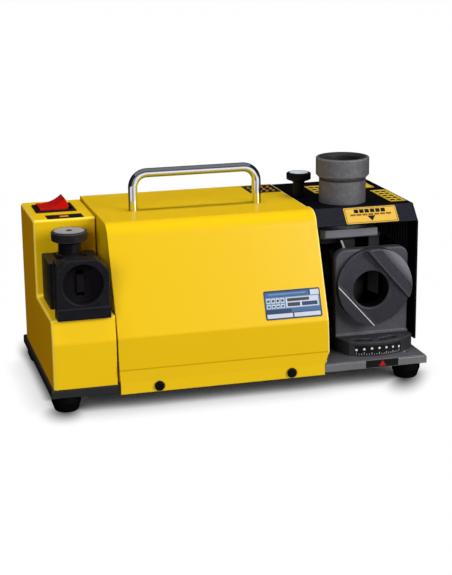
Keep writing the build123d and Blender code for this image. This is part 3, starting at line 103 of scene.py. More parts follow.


# Bevel edge mask: edges rubbed bright on worn metal, and a painted highlight along sharp edges elsewhere.
def edge_group():
    group, given, out = new_group(
        "edge_wear_and_sheen", [("Width", 0.0006), ("Gain", 6)],
        [("Mask", "NodeSocketFloat"), ("Normal", "NodeSocketVector")],
    )
    rounded = group.nodes.new("ShaderNodeBevel")
    rounded.samples = 4
    group.links.new(given.outputs["Width"], rounded.inputs["Radius"])
    flat = group.nodes.new("ShaderNodeNewGeometry")
    match = group.nodes.new("ShaderNodeVectorMath")
    match.operation = "DOT_PRODUCT"
    group.links.new(rounded.outputs["Normal"], match.inputs[0])
    group.links.new(flat.outputs["Normal"], match.inputs[1])
    turn = calculate(group, "SUBTRACT", 1, match.outputs["Value"])
    place = group.nodes.new("ShaderNodeTexCoord")
    patchy = group.nodes.new("ShaderNodeTexNoise")
    patchy.inputs["Scale"].default_value = 160
    group.links.new(place.outputs["Object"], patchy.inputs["Vector"])
    broken = calculate(group, "MULTIPLY", turn, patchy.outputs["Fac"])
    strength = calculate(group, "MULTIPLY", broken, given.outputs["Gain"], clamp=True)
    group.links.new(strength, out.inputs["Mask"])
    group.links.new(rounded.outputs["Normal"], out.inputs["Normal"])
    return group


surface_grain = grain_group()
edge_wear_and_sheen = edge_group()


def new_material(name):
    material = bpy.data.materials.new(name)
    material.use_nodes = True
    return material, material.node_tree, material.node_tree.nodes["Principled BSDF"]


def tint(tree, mask, tone):
    colour = tree.nodes["Principled BSDF"].inputs["Base Color"]
    layer = tree.nodes.new("ShaderNodeMix")
    layer.data_type = "RGBA"
    layer.inputs["B"].default_value = (*tone, 1)
    tree.links.new(mask, layer.inputs["Factor"])
    if colour.is_linked:
        tree.links.new(colour.links[0].from_socket, layer.inputs["A"])
    tree.links.new(layer.outputs["Result"], colour)
    return layer


def finish(name, tone, second_tone, roughness, grain=800, patch=30, stretch=1.0, relief=0.1, depth=0.0002,
           metallic=0.0, specular=0.5, edge_tone=None, edge_width=0.0006, edge_gain=6, spread=0.08):
    material, tree, shader = new_material(name)
    texture = tree.nodes.new("ShaderNodeGroup")
    texture.node_tree = surface_grain
    for label, value in (("Scale", grain), ("Patch", patch), ("Stretch", stretch)):
        texture.inputs[label].default_value = value
    tint(tree, texture.outputs["Shade"], second_tone).inputs["A"].default_value = (*tone, 1)
    shine = tree.nodes.new("ShaderNodeMapRange")
    shine.inputs["To Min"].default_value = roughness - spread
    shine.inputs["To Max"].default_value = roughness + spread
    tree.links.new(texture.outputs["Shade"], shine.inputs["Value"])
    tree.links.new(shine.outputs["Result"], shader.inputs["Roughness"])
    bump = tree.nodes.new("ShaderNodeBump")
    bump.inputs["Strength"].default_value = relief
    bump.inputs["Distance"].default_value = depth
    tree.links.new(texture.outputs["Height"], bump.inputs["Height"])
    tree.links.new(bump.outputs["Normal"], shader.inputs["Normal"])
    # The edge tone paints rubbed wear and an edge highlight.
    if edge_tone:
        edges = tree.nodes.new("ShaderNodeGroup")
        edges.node_tree = edge_wear_and_sheen
        edges.inputs["Width"].default_value = edge_width
        edges.inputs["Gain"].default_value = edge_gain
        tint(tree, edges.outputs["Mask"], edge_tone)
        tree.links.new(edges.outputs["Normal"], bump.inputs["Normal"])
    shader.inputs["Metallic"].default_value = metallic
    shader.inputs["Specular IOR Level"].default_value = specular
    return material


def paint(material, *names):
    for name in names:
        nodes[name].material_slots[0].material = material


def object_axes(tree, kind="Object"):
    place = tree.nodes.new("ShaderNodeTexCoord")
    axes = tree.nodes.new("ShaderNodeSeparateXYZ")
    tree.links.new(place.outputs[kind], axes.inputs[0])
    return axes.outputs


mm = 0.001
base_steel = finish(
    "base_steel", (0.10, 0.10, 0.11), (0.19, 0.19, 0.205), 0.42, grain=1500, patch=60, stretch=0.04, relief=0.3,
    metallic=0.5, edge_tone=(0.5, 0.5, 0.53), edge_width=0.0005, edge_gain=5,
)
base_tree = base_steel.node_tree
# Painted light: faces turned to the front are tinted lighter.
lit_front_face = ramp(base_tree, object_axes(base_tree, "Normal")["Y"], -0.8, -0.95, 0, 0.75)
tint(base_tree, lit_front_face, (0.30, 0.30, 0.315))
# Painted shade: the plate is tinted darker under the body.
under_body_shade = ramp(base_tree, object_axes(base_tree)["X"], 50 * mm, 0)
tint(base_tree, under_body_shade, (0.045, 0.044, 0.046))
paint(base_steel, "base_plate")


# Feet: four moulded black rubber buffers under the plate's corners,
# each held by a zinc-plated screw up into the plate.
rubber = finish(
    "foot_rubber", (0.0015, 0.0015, 0.0018), (0.004, 0.004, 0.0045), 0.6, grain=2500, patch=200, relief=0.25,
    specular=0.1,
)
plated_steel = finish(
    "plated_steel", (0.5, 0.5, 0.5), (0.62, 0.61, 0.6), 0.32, grain=1800, patch=200, metallic=1.0,
    edge_tone=(0.8, 0.8, 0.8), edge_width=0.0003,
)
paint(rubber, "rubber_feet")
paint(plated_steel, "foot_screws")


# Motor: rolled steel yoke between cast aluminium caps on a cradle, ferrite field magnets, carbon brushes,
# and a shaft in two ball bearings with stacked armature, copper windings, commutator and moulded fan.
yoke_paint = finish("yoke_paint", (0.03, 0.03, 0.032), (0.045, 0.045, 0.048), 0.5, patch=60, metallic=0.5)
cast_aluminium = finish(
    "cast_aluminium", (0.42, 0.42, 0.43), (0.52, 0.52, 0.53), 0.45, grain=1200, patch=90, relief=0.25,
    metallic=0.9, edge_tone=(0.75, 0.75, 0.76), edge_width=0.0004,
)
ferrite = finish("ferrite", (0.03, 0.03, 0.032), (0.05, 0.05, 0.052), 0.6, patch=120, relief=0.2)
copper = finish("copper", (0.62, 0.25, 0.11), (0.7, 0.31, 0.15), 0.35, patch=150, metallic=1.0)
carbon = finish("carbon", (0.02, 0.02, 0.021), (0.03, 0.03, 0.031), 0.55, patch=200, relief=0.2)
black_plastic = finish(
    "black_plastic", (0.006, 0.006, 0.007), (0.011, 0.011, 0.012), 0.36, grain=3000, patch=120, relief=0.12,
    specular=0.35, edge_tone=(0.045, 0.045, 0.05), edge_width=0.0004, edge_gain=4,
)
paint(yoke_paint, "motor_yoke")
paint(cast_aluminium, "motor_front_cap", "motor_rear_cap", "motor_cradle")
paint(ferrite, "field_magnets", "armature_core")
paint(copper, "armature_windings", "commutator")
paint(carbon, "carbon_brushes")
paint(black_plastic, "cooling_fan")
paint(plated_steel, "front_bearing", "rear_bearing", "motor_shaft", "motor_screws")


# Grinding wheel: a steel hub and turned core that carry a band of bonded abrasive grit,
# drawn up on the shaft's end by one black bolt.
wheel_steel = finish(
    "wheel_steel", (0.03, 0.03, 0.032), (0.05, 0.05, 0.053), 0.5, grain=1400, patch=140, relief=0.2, metallic=0.6,
)
abrasive = finish(
    "abrasive", (0.020, 0.016, 0.013), (0.042, 0.034, 0.028), 0.75, grain=5000, patch=900, relief=0.9, depth=0.0004,
)
black_steel = finish(
    "black_steel", (0.006, 0.006, 0.007), (0.011, 0.011, 0.012), 0.3, grain=1500, patch=150, metallic=0.3,
    specular=0.4, edge_tone=(0.07, 0.07, 0.075), edge_width=0.0003,
)
paint(wheel_steel, "wheel_hub", "wheel_core")
paint(abrasive, "abrasive_band")
paint(black_steel, "wheel_bolt")


# Divider wall: folded steel sheet between the motor and the grinding chamber, painted dull dark grey
# and dusted by the grinding.
dark_sheet = finish(
    "dark_sheet", (0.012, 0.012, 0.013), (0.03, 0.029, 0.028), 0.62, grain=900, patch=45, relief=0.2, specular=0.2,
)
paint(dark_sheet, "divider_wall")


# Switch housing: folded and welded sheet steel on the left, powder coated glossy yellow inside and out,
# with a ledge at the front for the setting gauge.
def yellow_powder(name, tone):
    lighter = tuple(value * 1.04 for value in tone)
    # Its lighter edge tone is a painted highlight along the coat's sharp edges.
    material = finish(
        name, tone, lighter, 0.32, grain=1100, patch=12, relief=0.05, depth=0.0001, specular=0.15, spread=0.03,
        edge_tone=(0.95, 0.68, 0.05), edge_width=0.0009, edge_gain=2,
    )
    shader = material.node_tree.nodes["Principled BSDF"]
    shader.inputs["Coat Weight"].default_value = 0.07
    shader.inputs["Coat Roughness"].default_value = 0.14
    return material


def overlap(tree, first, *others):
    mask = first
    for other in others:
        mask = calculate(tree, "MULTIPLY", mask, other)
    return mask


# Painted light: the housing's coat is the cover's yellow toned lighter.
housing_coat_lit = yellow_powder("housing_coat_lit", (0.88, 0.557, 0.0066))
housing_tree = housing_coat_lit.node_tree
housing_axes, housing_facing = object_axes(housing_tree), object_axes(housing_tree, "Normal")
# Painted shade: faces turned to the left are tinted darker and deeper orange.
tint(housing_tree, ramp(housing_tree, housing_facing["X"], -0.9, -0.98), (0.82, 0.395, 0.001))
# Painted light: the front band above the ledge crease is tinted lighter.
lit_ledge_band = overlap(
    housing_tree, ramp(housing_tree, housing_axes["Z"], 56.8 * mm, 57.8 * mm),
    ramp(housing_tree, housing_axes["Y"], -68 * mm, -72 * mm), ramp(housing_tree, housing_facing["Y"], -0.8, -0.9),
)
tint(housing_tree, lit_ledge_band, (0.985, 0.625, 0.013))
# Painted highlight: the rounded bends are tinted lighter.
across_bend = calculate(housing_tree, "SUBTRACT", 1, calculate(housing_tree, "POWER", housing_facing["X"], 2))
upright_bend = overlap(
    housing_tree, calculate(housing_tree, "ABSOLUTE", housing_facing["X"]),
    calculate(housing_tree, "SQRT", across_bend),
)
level_bend = calculate(
    housing_tree, "ABSOLUTE", overlap(housing_tree, housing_facing["Y"], housing_facing["Z"]),
)
bend = calculate(housing_tree, "MAXIMUM", upright_bend, level_bend)
tint(housing_tree, ramp(housing_tree, bend, 0.3, 0.5, 0, 0.7), (1.0, 0.80, 0.16))
paint(housing_coat_lit, "left_housing")


# Rocker switch: a black moulded bezel snapped into the housing's top, with a glossy red rocker
# and brass terminals. A printed foil strip is stuck on in front of it.
red_plastic = finish(
    "red_plastic", (0.5, 0.003, 0.003), (0.56, 0.004, 0.004), 0.25, grain=900, patch=90, relief=0.03, specular=0.3,
    spread=0.04, edge_tone=(0.8, 0.05, 0.04), edge_width=0.0005, edge_gain=3,
)
brass = finish("brass", (0.75, 0.52, 0.2), (0.8, 0.58, 0.26), 0.3, patch=200, metallic=1.0)
paint(black_plastic, "switch_housing")
paint(red_plastic, "switch_rocker")
paint(brass, "switch_terminals")

# Places on the grinder are in millimetres from the middle of the base plate's lower front edge,
# and row_shift takes them into the shared frame.
row_shift = Vector((-0.75, -80.9, 14)) * mm
foil = 0.22 * mm
print_step = 0.02 * mm


def mesh_piece(name, shape, *materials):
    mesh = bpy.data.meshes.new(name)
    shape.to_mesh(mesh)
    shape.free()
    piece = bpy.data.objects.new(name, mesh)
    bpy.context.scene.collection.objects.link(piece)
    for material in materials:
        mesh.materials.append(material)
    return piece


def ink(name, tone, roughness=0.4, metallic=0.0, specular=0.3):
    deeper = tuple(value * 0.86 for value in tone)
    return finish(
        name, tone, deeper, roughness, grain=2500, patch=90, relief=0.05, metallic=metallic, specular=specular,
        spread=0.05,
    )


def raise_faces(shape, faces, height):
    raised = bmesh.ops.extrude_face_region(shape, geom=faces)
    upper = [item for item in raised["geom"] if isinstance(item, bmesh.types.BMVert)]
    bmesh.ops.translate(shape, verts=upper, vec=(0, 0, height))


def slip(shape, left, low, right, high, bottom, top, corner=0, index=0):
    before = set(shape.faces)
    size = Matrix.Diagonal((right - left, high - low, 1, 1))
    centre = Matrix.Translation(((left + right) / 2, (low + high) / 2, bottom))
    sheet = bmesh.ops.create_grid(shape, x_segments=1, y_segments=1, size=0.5, matrix=centre @ size)
    if corner:
        bmesh.ops.bevel(
            shape, geom=sheet["verts"], offset=corner, segments=4, affect="VERTICES", profile=0.5, material=-1,
        )
    raise_faces(shape, [face for face in shape.faces if face not in before], top - bottom)
    for face in shape.faces:
        if face not in before:
            face.material_index = index


def stick_on(name, shape, materials, corner, along, across, lift=0, body="frame"):
    bmesh.ops.recalc_face_normals(shape, faces=shape.faces)
    along, across = Vector(along).normalized(), Vector(across).normalized()
    outward = along.cross(across)
    turn = Matrix((along, across, outward)).transposed().to_4x4()
    place = Matrix.Translation(Vector(corner) * mm + row_shift + outward * lift)
    bmesh.ops.transform(shape, matrix=place @ turn, verts=shape.verts)
    piece = mesh_piece(name, shape, *materials)
    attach(piece, body)


# Each print is its left, low, right and high edge on the plate, the layer it lies in and the number of its ink.
def printed_plate(name, corner, along, across, width, height, radius, prints, materials):
    shape = bmesh.new()
    slip(shape, 0, 0, width * mm, height * mm, 0, foil, corner=radius * mm)
    for left, low, right, high, layer, index in prints:
        top = foil + print_step * layer
        slip(shape, left * mm, low * mm, right * mm, high * mm, foil - print_step, top, index=index)
    stick_on(name, shape, materials, corner, along, across)


foil_black = ink("foil_black", (0.010, 0.010, 0.011))
foil_amber = ink("foil_amber", (0.80, 0.36, 0.05))
sideways, backwards, upwards = Vector((1, 0, 0)), Vector((0, 1, 0)), Vector((0, 0, 1))
printed_plate(
    "switch_label", (-145.6, 81.5, 128.3), sideways, backwards, 30.4, 14.5, 0.6,
    [(11.2, 4.6, 18.6, 9.6, 1, 1)], [foil_black, foil_amber],
)


# Control board: glass-fibre board on moulded stand-offs under the switch, with one can capacitor,
# and the moulded cord gland in the back wall.
board_green = finish("board_green", (0.012, 0.09, 0.03), (0.02, 0.12, 0.045), 0.4, patch=100)
paint(board_green, "control_board")
paint(black_plastic, "board_standoffs", "cord_gland")
paint(cast_aluminium, "capacitor")


# Centre cover: one bent sheet for the front and top, coated like the housing, with a tab over the plate's edge
# and two black pan-head screws. A printed aluminium plate and a dark foil are stuck on it.
def distance_from(tree, value, centre):
    return calculate(tree, "ABSOLUTE", calculate(tree, "SUBTRACT", value, centre))


# Painted shade: the cover's coat is the housing's yellow toned darker.
cover_coat_shaded = yellow_powder("cover_coat_shaded", (0.785, 0.497, 0.0057))
cover_tree = cover_coat_shaded.node_tree
cover_axes = object_axes(cover_tree)
crease_height = 19 * mm + row_shift.z
# Painted light: the band below the crease is tinted lighter.
lit_lower_band = ramp(cover_tree, cover_axes["Z"], crease_height + 0.3 * mm, crease_height - 0.3 * mm)
tint(cover_tree, lit_lower_band, (0.905, 0.576, 0.0085))
# Painted shade: a thin dark line along the crease.
from_crease = distance_from(cover_tree, cover_axes["Z"], crease_height)
tint(cover_tree, ramp(cover_tree, from_crease, 0.9 * mm, 0.3 * mm), (0.62, 0.38, 0.002))
# Painted highlight: a pale line along the cover's right cut edge.
step_y, step_width = 53 * mm + row_shift.y, 2 * mm
behind_step = ramp(cover_tree, cover_axes["Y"], step_y - 0.5 * mm, step_y + 0.5 * mm, 0, step_width)
cut_edge = 72 * mm + row_shift.x
to_edge = calculate(cover_tree, "ADD", cover_axes["X"], behind_step)
right_edge_highlight = ramp(cover_tree, to_edge, cut_edge - 1.2 * mm, cut_edge - 0.6 * mm, 0, 0.75)
off_edge = ramp(cover_tree, object_axes(cover_tree, "Normal")["X"], 0.8, 0.4)
tint(cover_tree, overlap(cover_tree, right_edge_highlight, off_edge), (1.0, 0.84, 0.26))
paint(cover_coat_shaded, "center_cover")
paint(black_steel, "cover_screws")
plate_inks = [
    ink("plate_navy", (0.008, 0.034, 0.105)), ink("plate_blue", (0.040, 0.115, 0.30)),
    ink("plate_sky", (0.13, 0.24, 0.41)), ink("plate_white", (0.56, 0.61, 0.69)),
    ink("plate_grey", (0.035, 0.038, 0.055)),
]
navy, blue, sky, white, grey = range(5)
plate_prints = [
    (1.0, 19.0, 38.6, 22.6, 1, blue), (4.0, 20.4, 36.0, 21.6, 2, sky), (1.0, 8.6, 47.6, 18.6, 1, sky),
    (1.0, 5.4, 47.6, 8.4, 1, blue), (1.0, 5.4, 22.6, 8.4, 2, navy), (1.4, 1.3, 23.2, 4.7, 1, white),
    (24.4, 1.3, 47.2, 4.7, 1, white), (40.0, 18.6, 47.6, 22.9, 1, white), (18.4, 9.4, 46.6, 17.8, 2, white),
    (19.6, 14.4, 38.6, 17.0, 3, grey), (19.6, 10.2, 30.4, 13.4, 3, grey), (32.0, 10.2, 45.4, 13.4, 3, navy),
]
cell_pitch, cell_width, cell_margin = 4.0, 3.2, 0.6
for cell in range(4):
    left = 2.0 + cell_pitch * cell
    right = left + cell_width
    plate_prints += [
        (left, 13.6, right, 17.8, 2, white), (left, 9.4, right, 12.6, 2, white),
        (left + cell_margin, 14.6, right - cell_margin, 16.6, 3, grey),
        (left + cell_margin, 10.2, right - cell_margin, 11.6, 3, grey),
    ]
cover_slope = Vector((0, 36, 85.5)).normalized()
printed_plate(
    "rating_plate", Vector((18.6, 0, 45)) + cover_slope * 4.2, sideways, cover_slope, 48.6, 24.2, 1.4,
    plate_prints, plate_inks,
)
block_pitch, block_width, line_pitch, line_height, line_offset = 6.0, 2.6, 4.6, 2.2, 1.4
cover_prints = []
for line in range(6):
    for block in range(4):
        left, low = 2.6 + block_pitch * block + line_offset * (line % 2), 3.0 + line_pitch * line
        cover_prints.append((left, low, left + block_width, low + line_height, 1, 1))
body_top = 130.5
printed_plate(
    "cover_label", (41, 121, body_top), sideways, backwards, 28, 33, 1.0, cover_prints,
    [foil_black, foil_amber],
)


# Carry handle: a round steel rod bent twice, polished and chrome plated, with a tapped hole in each end.
# Two screws from inside the cover pull it down on the sheet.
chrome = finish(
    "chrome_plate", (0.80, 0.81, 0.84), (0.86, 0.87, 0.89), 0.11, grain=400, patch=60, relief=0.02, metallic=1.0,
    spread=0.015,
)
chrome_tree = chrome.node_tree
rod_facing = object_axes(chrome_tree, "Normal")
# Painted reflection: the rod's underside is tinted darker and blue.
tint(chrome_tree, ramp(chrome_tree, rod_facing["Z"], -0.1, -0.6), (0.28, 0.38, 0.95))
handle_low, handle_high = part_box("carry_handle")
handle_middle = (handle_low[0] + handle_high[0]) / 2
# Painted reflection: the outer sides of the legs are tinted nearly black.
for side, start, full in ((-1, 0.68, 0.84), (1, 0.30, 0.60)):
    outward = ramp(chrome_tree, rod_facing["X"], side * start, side * full, 0, 0.85)
    on_leg = ramp(chrome_tree, object_axes(chrome_tree)["X"], handle_middle, handle_middle + side * 2 * mm)
    tint(chrome_tree, overlap(chrome_tree, outward, on_leg), (0.06, 0.06, 0.075))
paint(chrome, "carry_handle")
paint(plated_steel, "handle_screws")


# Rear panel: flat sheet that closes the body behind the motor, coated yellow and screwed to the cover's lip.
# A black rubber strip pressed in beside it keeps grinding dust from coming out of the joint with the hood.
paint(yellow_powder("panel_coat", (0.83, 0.525, 0.006)), "rear_panel")
paint(plated_steel, "panel_screws")
strip_width, strip_height, strip_thickness, strip_corner = 1.95 * mm, 108.8 * mm, 1.2 * mm, 0.3 * mm
heel_left, heel_right, heel_height = -1.98 * mm, -0.02 * mm, 5.4 * mm
strip_shape = bmesh.new()
slip(strip_shape, 0, 0, strip_width, strip_height, 0, strip_thickness, strip_corner)
slip(strip_shape, heel_left, 0, heel_right, heel_height, 0, strip_thickness, strip_corner)
stick_on("joint_strip", strip_shape, [rubber], (70.28, 155.0, 7.4), -sideways, upwards)


# Grinding hood: black sheet steel bent over the wheel, coated with a coarse textured powder,
# with the vented side panel welded on. Yellow foils are stuck on its lip and top.
hood_coat = finish(
    "hood_coat", (0.001, 0.001, 0.002), (0.030, 0.030, 0.042), 0.6, grain=1500, patch=900, relief=0.6, depth=0.0003,
    specular=0.1, spread=0.05, edge_tone=(0.08, 0.08, 0.10), edge_width=0.0006, edge_gain=4,
)
hood_tree = hood_coat.node_tree
# Painted shade: upward faces of the hood are tinted darker.
hood_top = ramp(hood_tree, object_axes(hood_tree, "Normal")["Z"], 0.9, 0.99, 0, 0.9)
tint(hood_tree, hood_top, (0.001, 0.001, 0.0015))
paint(hood_coat, "grinding_hood")
# Painted shade: the side panel's coat is a darker, duller copy of the hood coat.
side_coat_shaded = finish(
    "side_coat_shaded", (0.0004, 0.0004, 0.0005), (0.003, 0.003, 0.004), 0.6, grain=1500, patch=900, relief=0.6, depth=0.0003,
    specular=0.03, spread=0.05, edge_tone=(0.05, 0.05, 0.06), edge_width=0.0006, edge_gain=4,
)
paint(side_coat_shaded, "hood_side")


def ruled_border(width, height, outer, inner):
    return [
        (outer, outer, width - outer, height - outer, 1, 1), (inner, inner, width - inner, height - inner, 2, 0),
    ]


def on_lip(x, rise):
    return Vector((x, 28.7, 117.9)) + hood_lip * rise


hood_lip = Vector((0, 12, 12.6)).normalized()
lip_width, lip_height = 46.6, 15.8
lip_inks = [ink("foil_ochre", (0.74, 0.455, 0.07)), foil_black, ink("foil_brown", (0.22, 0.105, 0.02))]
lip_prints = ruled_border(lip_width, lip_height, 0.8, 1.2)
for blocks, start, pitch, width, low, high, index in (
    (6, 8.8, 4.8, 3.9, 10.2, 13.8, 1), (7, 5.0, 5.3, 4.5, 7.5, 9.3, 2),
):
    for block in range(blocks):
        left = start + pitch * block
        lip_prints.append((left, low, left + width, high, 3, index))
printed_plate(
    "lip_label", on_lip(97.6, 0.3), sideways, hood_lip, lip_width, lip_height, 1.2, lip_prints, lip_inks,
)
hood_inks = [ink("foil_yellow", (0.80, 0.53, 0.03)), foil_black]
mark_width, mark_height, mark_pitch, mark_line = 4.2, 5.2, 5.4, 9
first_left, first_low, margin_across, margin_along = 2.2, 3.2, 3, 4
for name, left, front, width, depth in (
    ("hood_label_right", 144.6, 50.5, 14.6, 50), ("hood_label_back", 141, 113, 13, 22),
    ("hood_label_left", 95, 104, 19.5, 32),
):
    hood_prints = ruled_border(width, depth, 0.8, 1.3)
    for line in range(int((depth - margin_along) / mark_line)):
        for column in range(int((width - margin_across) / mark_pitch)):
            x, y = first_left + mark_pitch * column, first_low + mark_line * line
            hood_prints.append((x, y, x + mark_width, y + mark_height, 3, 1))
    corner = (left, front, body_top)
    printed_plate(name, corner, sideways, backwards, width, depth, 1.0, hood_prints, hood_inks)


def printed_arrow(name, material, tip, along, across, half_width, length):
    shape = bmesh.new()
    bmesh.ops.create_circle(shape, cap_ends=True, segments=3, radius=1)
    bmesh.ops.translate(shape, verts=shape.verts, vec=(0, -1, 0))
    bmesh.ops.scale(shape, verts=shape.verts, vec=(half_width * mm / sin(pi / 3), length * mm / 1.5, 1))
    raise_faces(shape, shape.faces[:], 4 * print_step)
    stick_on(name, shape, [material], tip, along, across, lift=foil)


printed_arrow("lip_arrow", foil_black, on_lip(120.8, 2.2), -sideways, -hood_lip, 3.5, 5.2)


# Port bracket: a flat bar of bright drawn steel that runs across under the hood's lip, bolted to the divider wall.
# It carries the thinning port and the spindle of its stop.
drawn_steel = finish(
    "drawn_steel", (0.16, 0.158, 0.175), (0.225, 0.222, 0.242), 0.42, grain=1200, patch=90, stretch=0.05, relief=0.3,
    metallic=0.35, edge_tone=(0.55, 0.55, 0.58), edge_width=0.0006,
)
paint(drawn_steel, "port_bracket")


# Thinning port: turned and bead-blasted steel tube with a thicker collar pressed on its top.
# Painted shade darkens the bore, the inner part of the top face and the groove under the collar.
def ring_group():
    group, given, out = new_group(
        "turned_rings", [("Place", None), ("Pitch", 0.0008)],
        [("Height", "NodeSocketFloat"), ("Radius", "NodeSocketFloat")],
    )
    flat = group.nodes.new("ShaderNodeVectorMath")
    flat.operation = "MULTIPLY"
    flat.inputs[1].default_value = (1, 1, 0)
    group.links.new(given.outputs["Place"], flat.inputs[0])
    reach = group.nodes.new("ShaderNodeVectorMath")
    reach.operation = "LENGTH"
    group.links.new(flat.outputs[0], reach.inputs[0])
    turns = calculate(group, "DIVIDE", reach.outputs["Value"], given.outputs["Pitch"])
    wave = calculate(group, "SINE", calculate(group, "MULTIPLY", turns, 2 * pi))
    group.links.new(wave, out.inputs["Height"])
    group.links.new(reach.outputs["Value"], out.inputs["Radius"])
    return group


turned_rings = ring_group()


def rings_about(tree, centre, pitch, lean=0):
    place = tree.nodes.new("ShaderNodeTexCoord")
    centred = tree.nodes.new("ShaderNodeMapping")
    turn = Matrix.Rotation(lean, 3, "X")
    centred.inputs["Rotation"].default_value = (lean, 0, 0)
    centred.inputs["Location"].default_value = -(turn @ (Vector(centre) * mm + row_shift))
    tree.links.new(place.outputs["Object"], centred.inputs["Vector"])
    rings = tree.nodes.new("ShaderNodeGroup")
    rings.node_tree = turned_rings
    rings.inputs["Pitch"].default_value = pitch
    tree.links.new(centred.outputs["Vector"], rings.inputs["Place"])
    return rings.outputs


port_steel = finish(
    "port_steel", (0.070, 0.068, 0.075), (0.172, 0.169, 0.180), 0.5, grain=2600, patch=320, relief=0.5,
    metallic=0.3, specular=0.4, edge_tone=(0.70, 0.70, 0.72), edge_width=0.0008, edge_gain=5,
)
port_tree = port_steel.node_tree
port_rings = rings_about(port_tree, (106.8, 67.2, 0), 0.9 * mm)
# Painted shade: the bore and the inner part of the top face are tinted dark.
tint(port_tree, ramp(port_tree, port_rings["Radius"], 17.8 * mm, 16.6 * mm), (0.028, 0.027, 0.026))
lead_in = overlap(
    port_tree, ramp(port_tree, port_rings["Radius"], 20.9 * mm, 20.1 * mm),
    ramp(port_tree, object_axes(port_tree, "Normal")["Z"], 0.3, 0.6),
)
tint(port_tree, lead_in, (0.035, 0.034, 0.034))
# Painted shade: a dark line along the groove under the collar.
groove_height = 150.6 * mm + row_shift.z
from_groove = distance_from(port_tree, object_axes(port_tree)["Z"], groove_height)
tint(port_tree, ramp(port_tree, from_groove, 1.3 * mm, 0.6 * mm, 0, 0.85), (0.02, 0.019, 0.02))
paint(port_steel, "thinning_port_tube", "thinning_port_sleeve")


# Thinning knob: a black knob with a thick rim and a neck, moulded on a plated spindle, with a turned aluminium disc
# let into its top. It lowers the small blackened stop under the bar, whose slanted edge is ground bright
# and carries a painted highlight.
def turned_aluminium(name, tone, centre, node):
    brighter = tuple(value * 1.25 for value in tone)
    material = finish(
        name, tone, brighter, 0.36, grain=2200, patch=150, relief=0.3, metallic=0.2, edge_tone=(0.85, 0.86, 0.88),
        edge_width=0.0005,
    )
    tree = material.node_tree
    bump = next(part for part in tree.nodes if part.type == "BUMP")
    rings = rings_about(tree, centre, 1.1 * mm)
    tree.links.new(rings["Height"], bump.inputs["Height"])
    low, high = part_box(node)
    rim_width, rim_blur = 1.5 * mm, 0.2 * mm
    rim = (high[0] - low[0]) / 2 - rim_width
    tint(tree, ramp(tree, rings["Radius"], rim - rim_blur, rim + rim_blur), (0.012, 0.012, 0.014))
    paint(material, node)


knob_black = finish(
    "knob_black", (0.004, 0.004, 0.005), (0.008, 0.008, 0.010), 0.5, grain=2400, patch=120, relief=0.15, specular=0.08,
    edge_tone=(0.09, 0.09, 0.10), edge_width=0.0004, edge_gain=4,
)
knob_low, knob_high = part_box("thinning_knob")
knob_axis = (Vector(knob_low) + Vector(knob_high)) / 2
knob_height = (knob_high[2] - knob_low[2]) / mm
spindle_radius, neck_radius, rim_radius, cap_radius, cap_depth = 3.0, 4.9, 10.7, 9.5, 0.8
knob_outline = [
    (spindle_radius, knob_height), (neck_radius, knob_height), (neck_radius, 8.8), (neck_radius + 0.8, 7.5),
    (rim_radius - 0.9, 6.0), (rim_radius, 5.2), (rim_radius, 0.6), (rim_radius - 0.6, 0),
    (cap_radius, 0), (cap_radius, cap_depth), (spindle_radius, cap_depth),
]
knob_shape = bmesh.new()
knob_points = [
    knob_shape.verts.new((knob_axis.x + radius * mm, knob_axis.y, knob_high[2] - depth * mm))
    for radius, depth in knob_outline
]
knob_edges = [knob_shape.edges.new((point, knob_points[place - 1])) for place, point in enumerate(knob_points)]
bmesh.ops.spin(
    knob_shape, geom=knob_points + knob_edges, cent=knob_axis, axis=(0, 0, 1), angle=2 * pi, steps=72, use_merge=True,
)
bmesh.ops.recalc_face_normals(knob_shape, faces=knob_shape.faces)
sharp_angle, knob_round = 0.5, 0.2 * mm
knob_corners = [edge for edge in knob_shape.edges if edge.calc_face_angle(0) > sharp_angle]
bmesh.ops.bevel(
    knob_shape, geom=knob_corners, offset=knob_round, offset_type="OFFSET", affect="EDGES", segments=2, profile=0.5,
    material=-1,
)
for face in knob_shape.faces:
    face.smooth = True
knob_moulding = mesh_piece("thinning_knob_moulding", knob_shape, knob_black)
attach(knob_moulding, "thinning_knob")
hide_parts("thinning_knob")
turned_aluminium("thinning_cap_aluminium", (0.78, 0.83, 0.90), (77.5, 98, 0), "thinning_knob_cap")
paint(plated_steel, "thinning_spindle")
stop_black = finish(
    "stop_black", (0.016, 0.016, 0.018), (0.026, 0.026, 0.029), 0.45, grain=1800, patch=90, relief=0.2, metallic=0.3,
    specular=0.3, edge_tone=(0.08, 0.08, 0.085), edge_width=0.0004,
)
paint(stop_black, "thinning_stop")
# A pale strip on the stop's slanted edge: its ground edge, with a painted highlight.
ground_edge_highlight = ink("ground_edge_highlight", (0.62, 0.60, 0.58), 0.35, 0.3)
edge_top, edge_foot = Vector((99.8, 50.95, 99.4)), Vector((103.2, 50.95, 90.6))
edge_run = edge_foot - edge_top
edge_width, edge_thickness, edge_corner = 1.5 * mm, 0.12 * mm, 0.25 * mm
edge_shape = bmesh.new()
slip(edge_shape, 0, 0, edge_run.length * mm, edge_width, 0, edge_thickness, edge_corner)
stick_on(
    "stop_ground_edge", edge_shape, [ground_edge_highlight], edge_top, edge_run, edge_run.cross(backwards),
    body="thinning_stop",
)


# Grit deflector: a steel strap bent to shape that hangs behind the drill holder and turns the grit down.
# It is bare metal, dulled by the sparks.
dulled_steel = finish(
    "dulled_steel", (0.035, 0.034, 0.036), (0.06, 0.058, 0.06), 0.55, grain=1800, patch=160, relief=0.3, metallic=0.3,
    specular=0.3,
)
paint(dulled_steel, "grit_deflector")


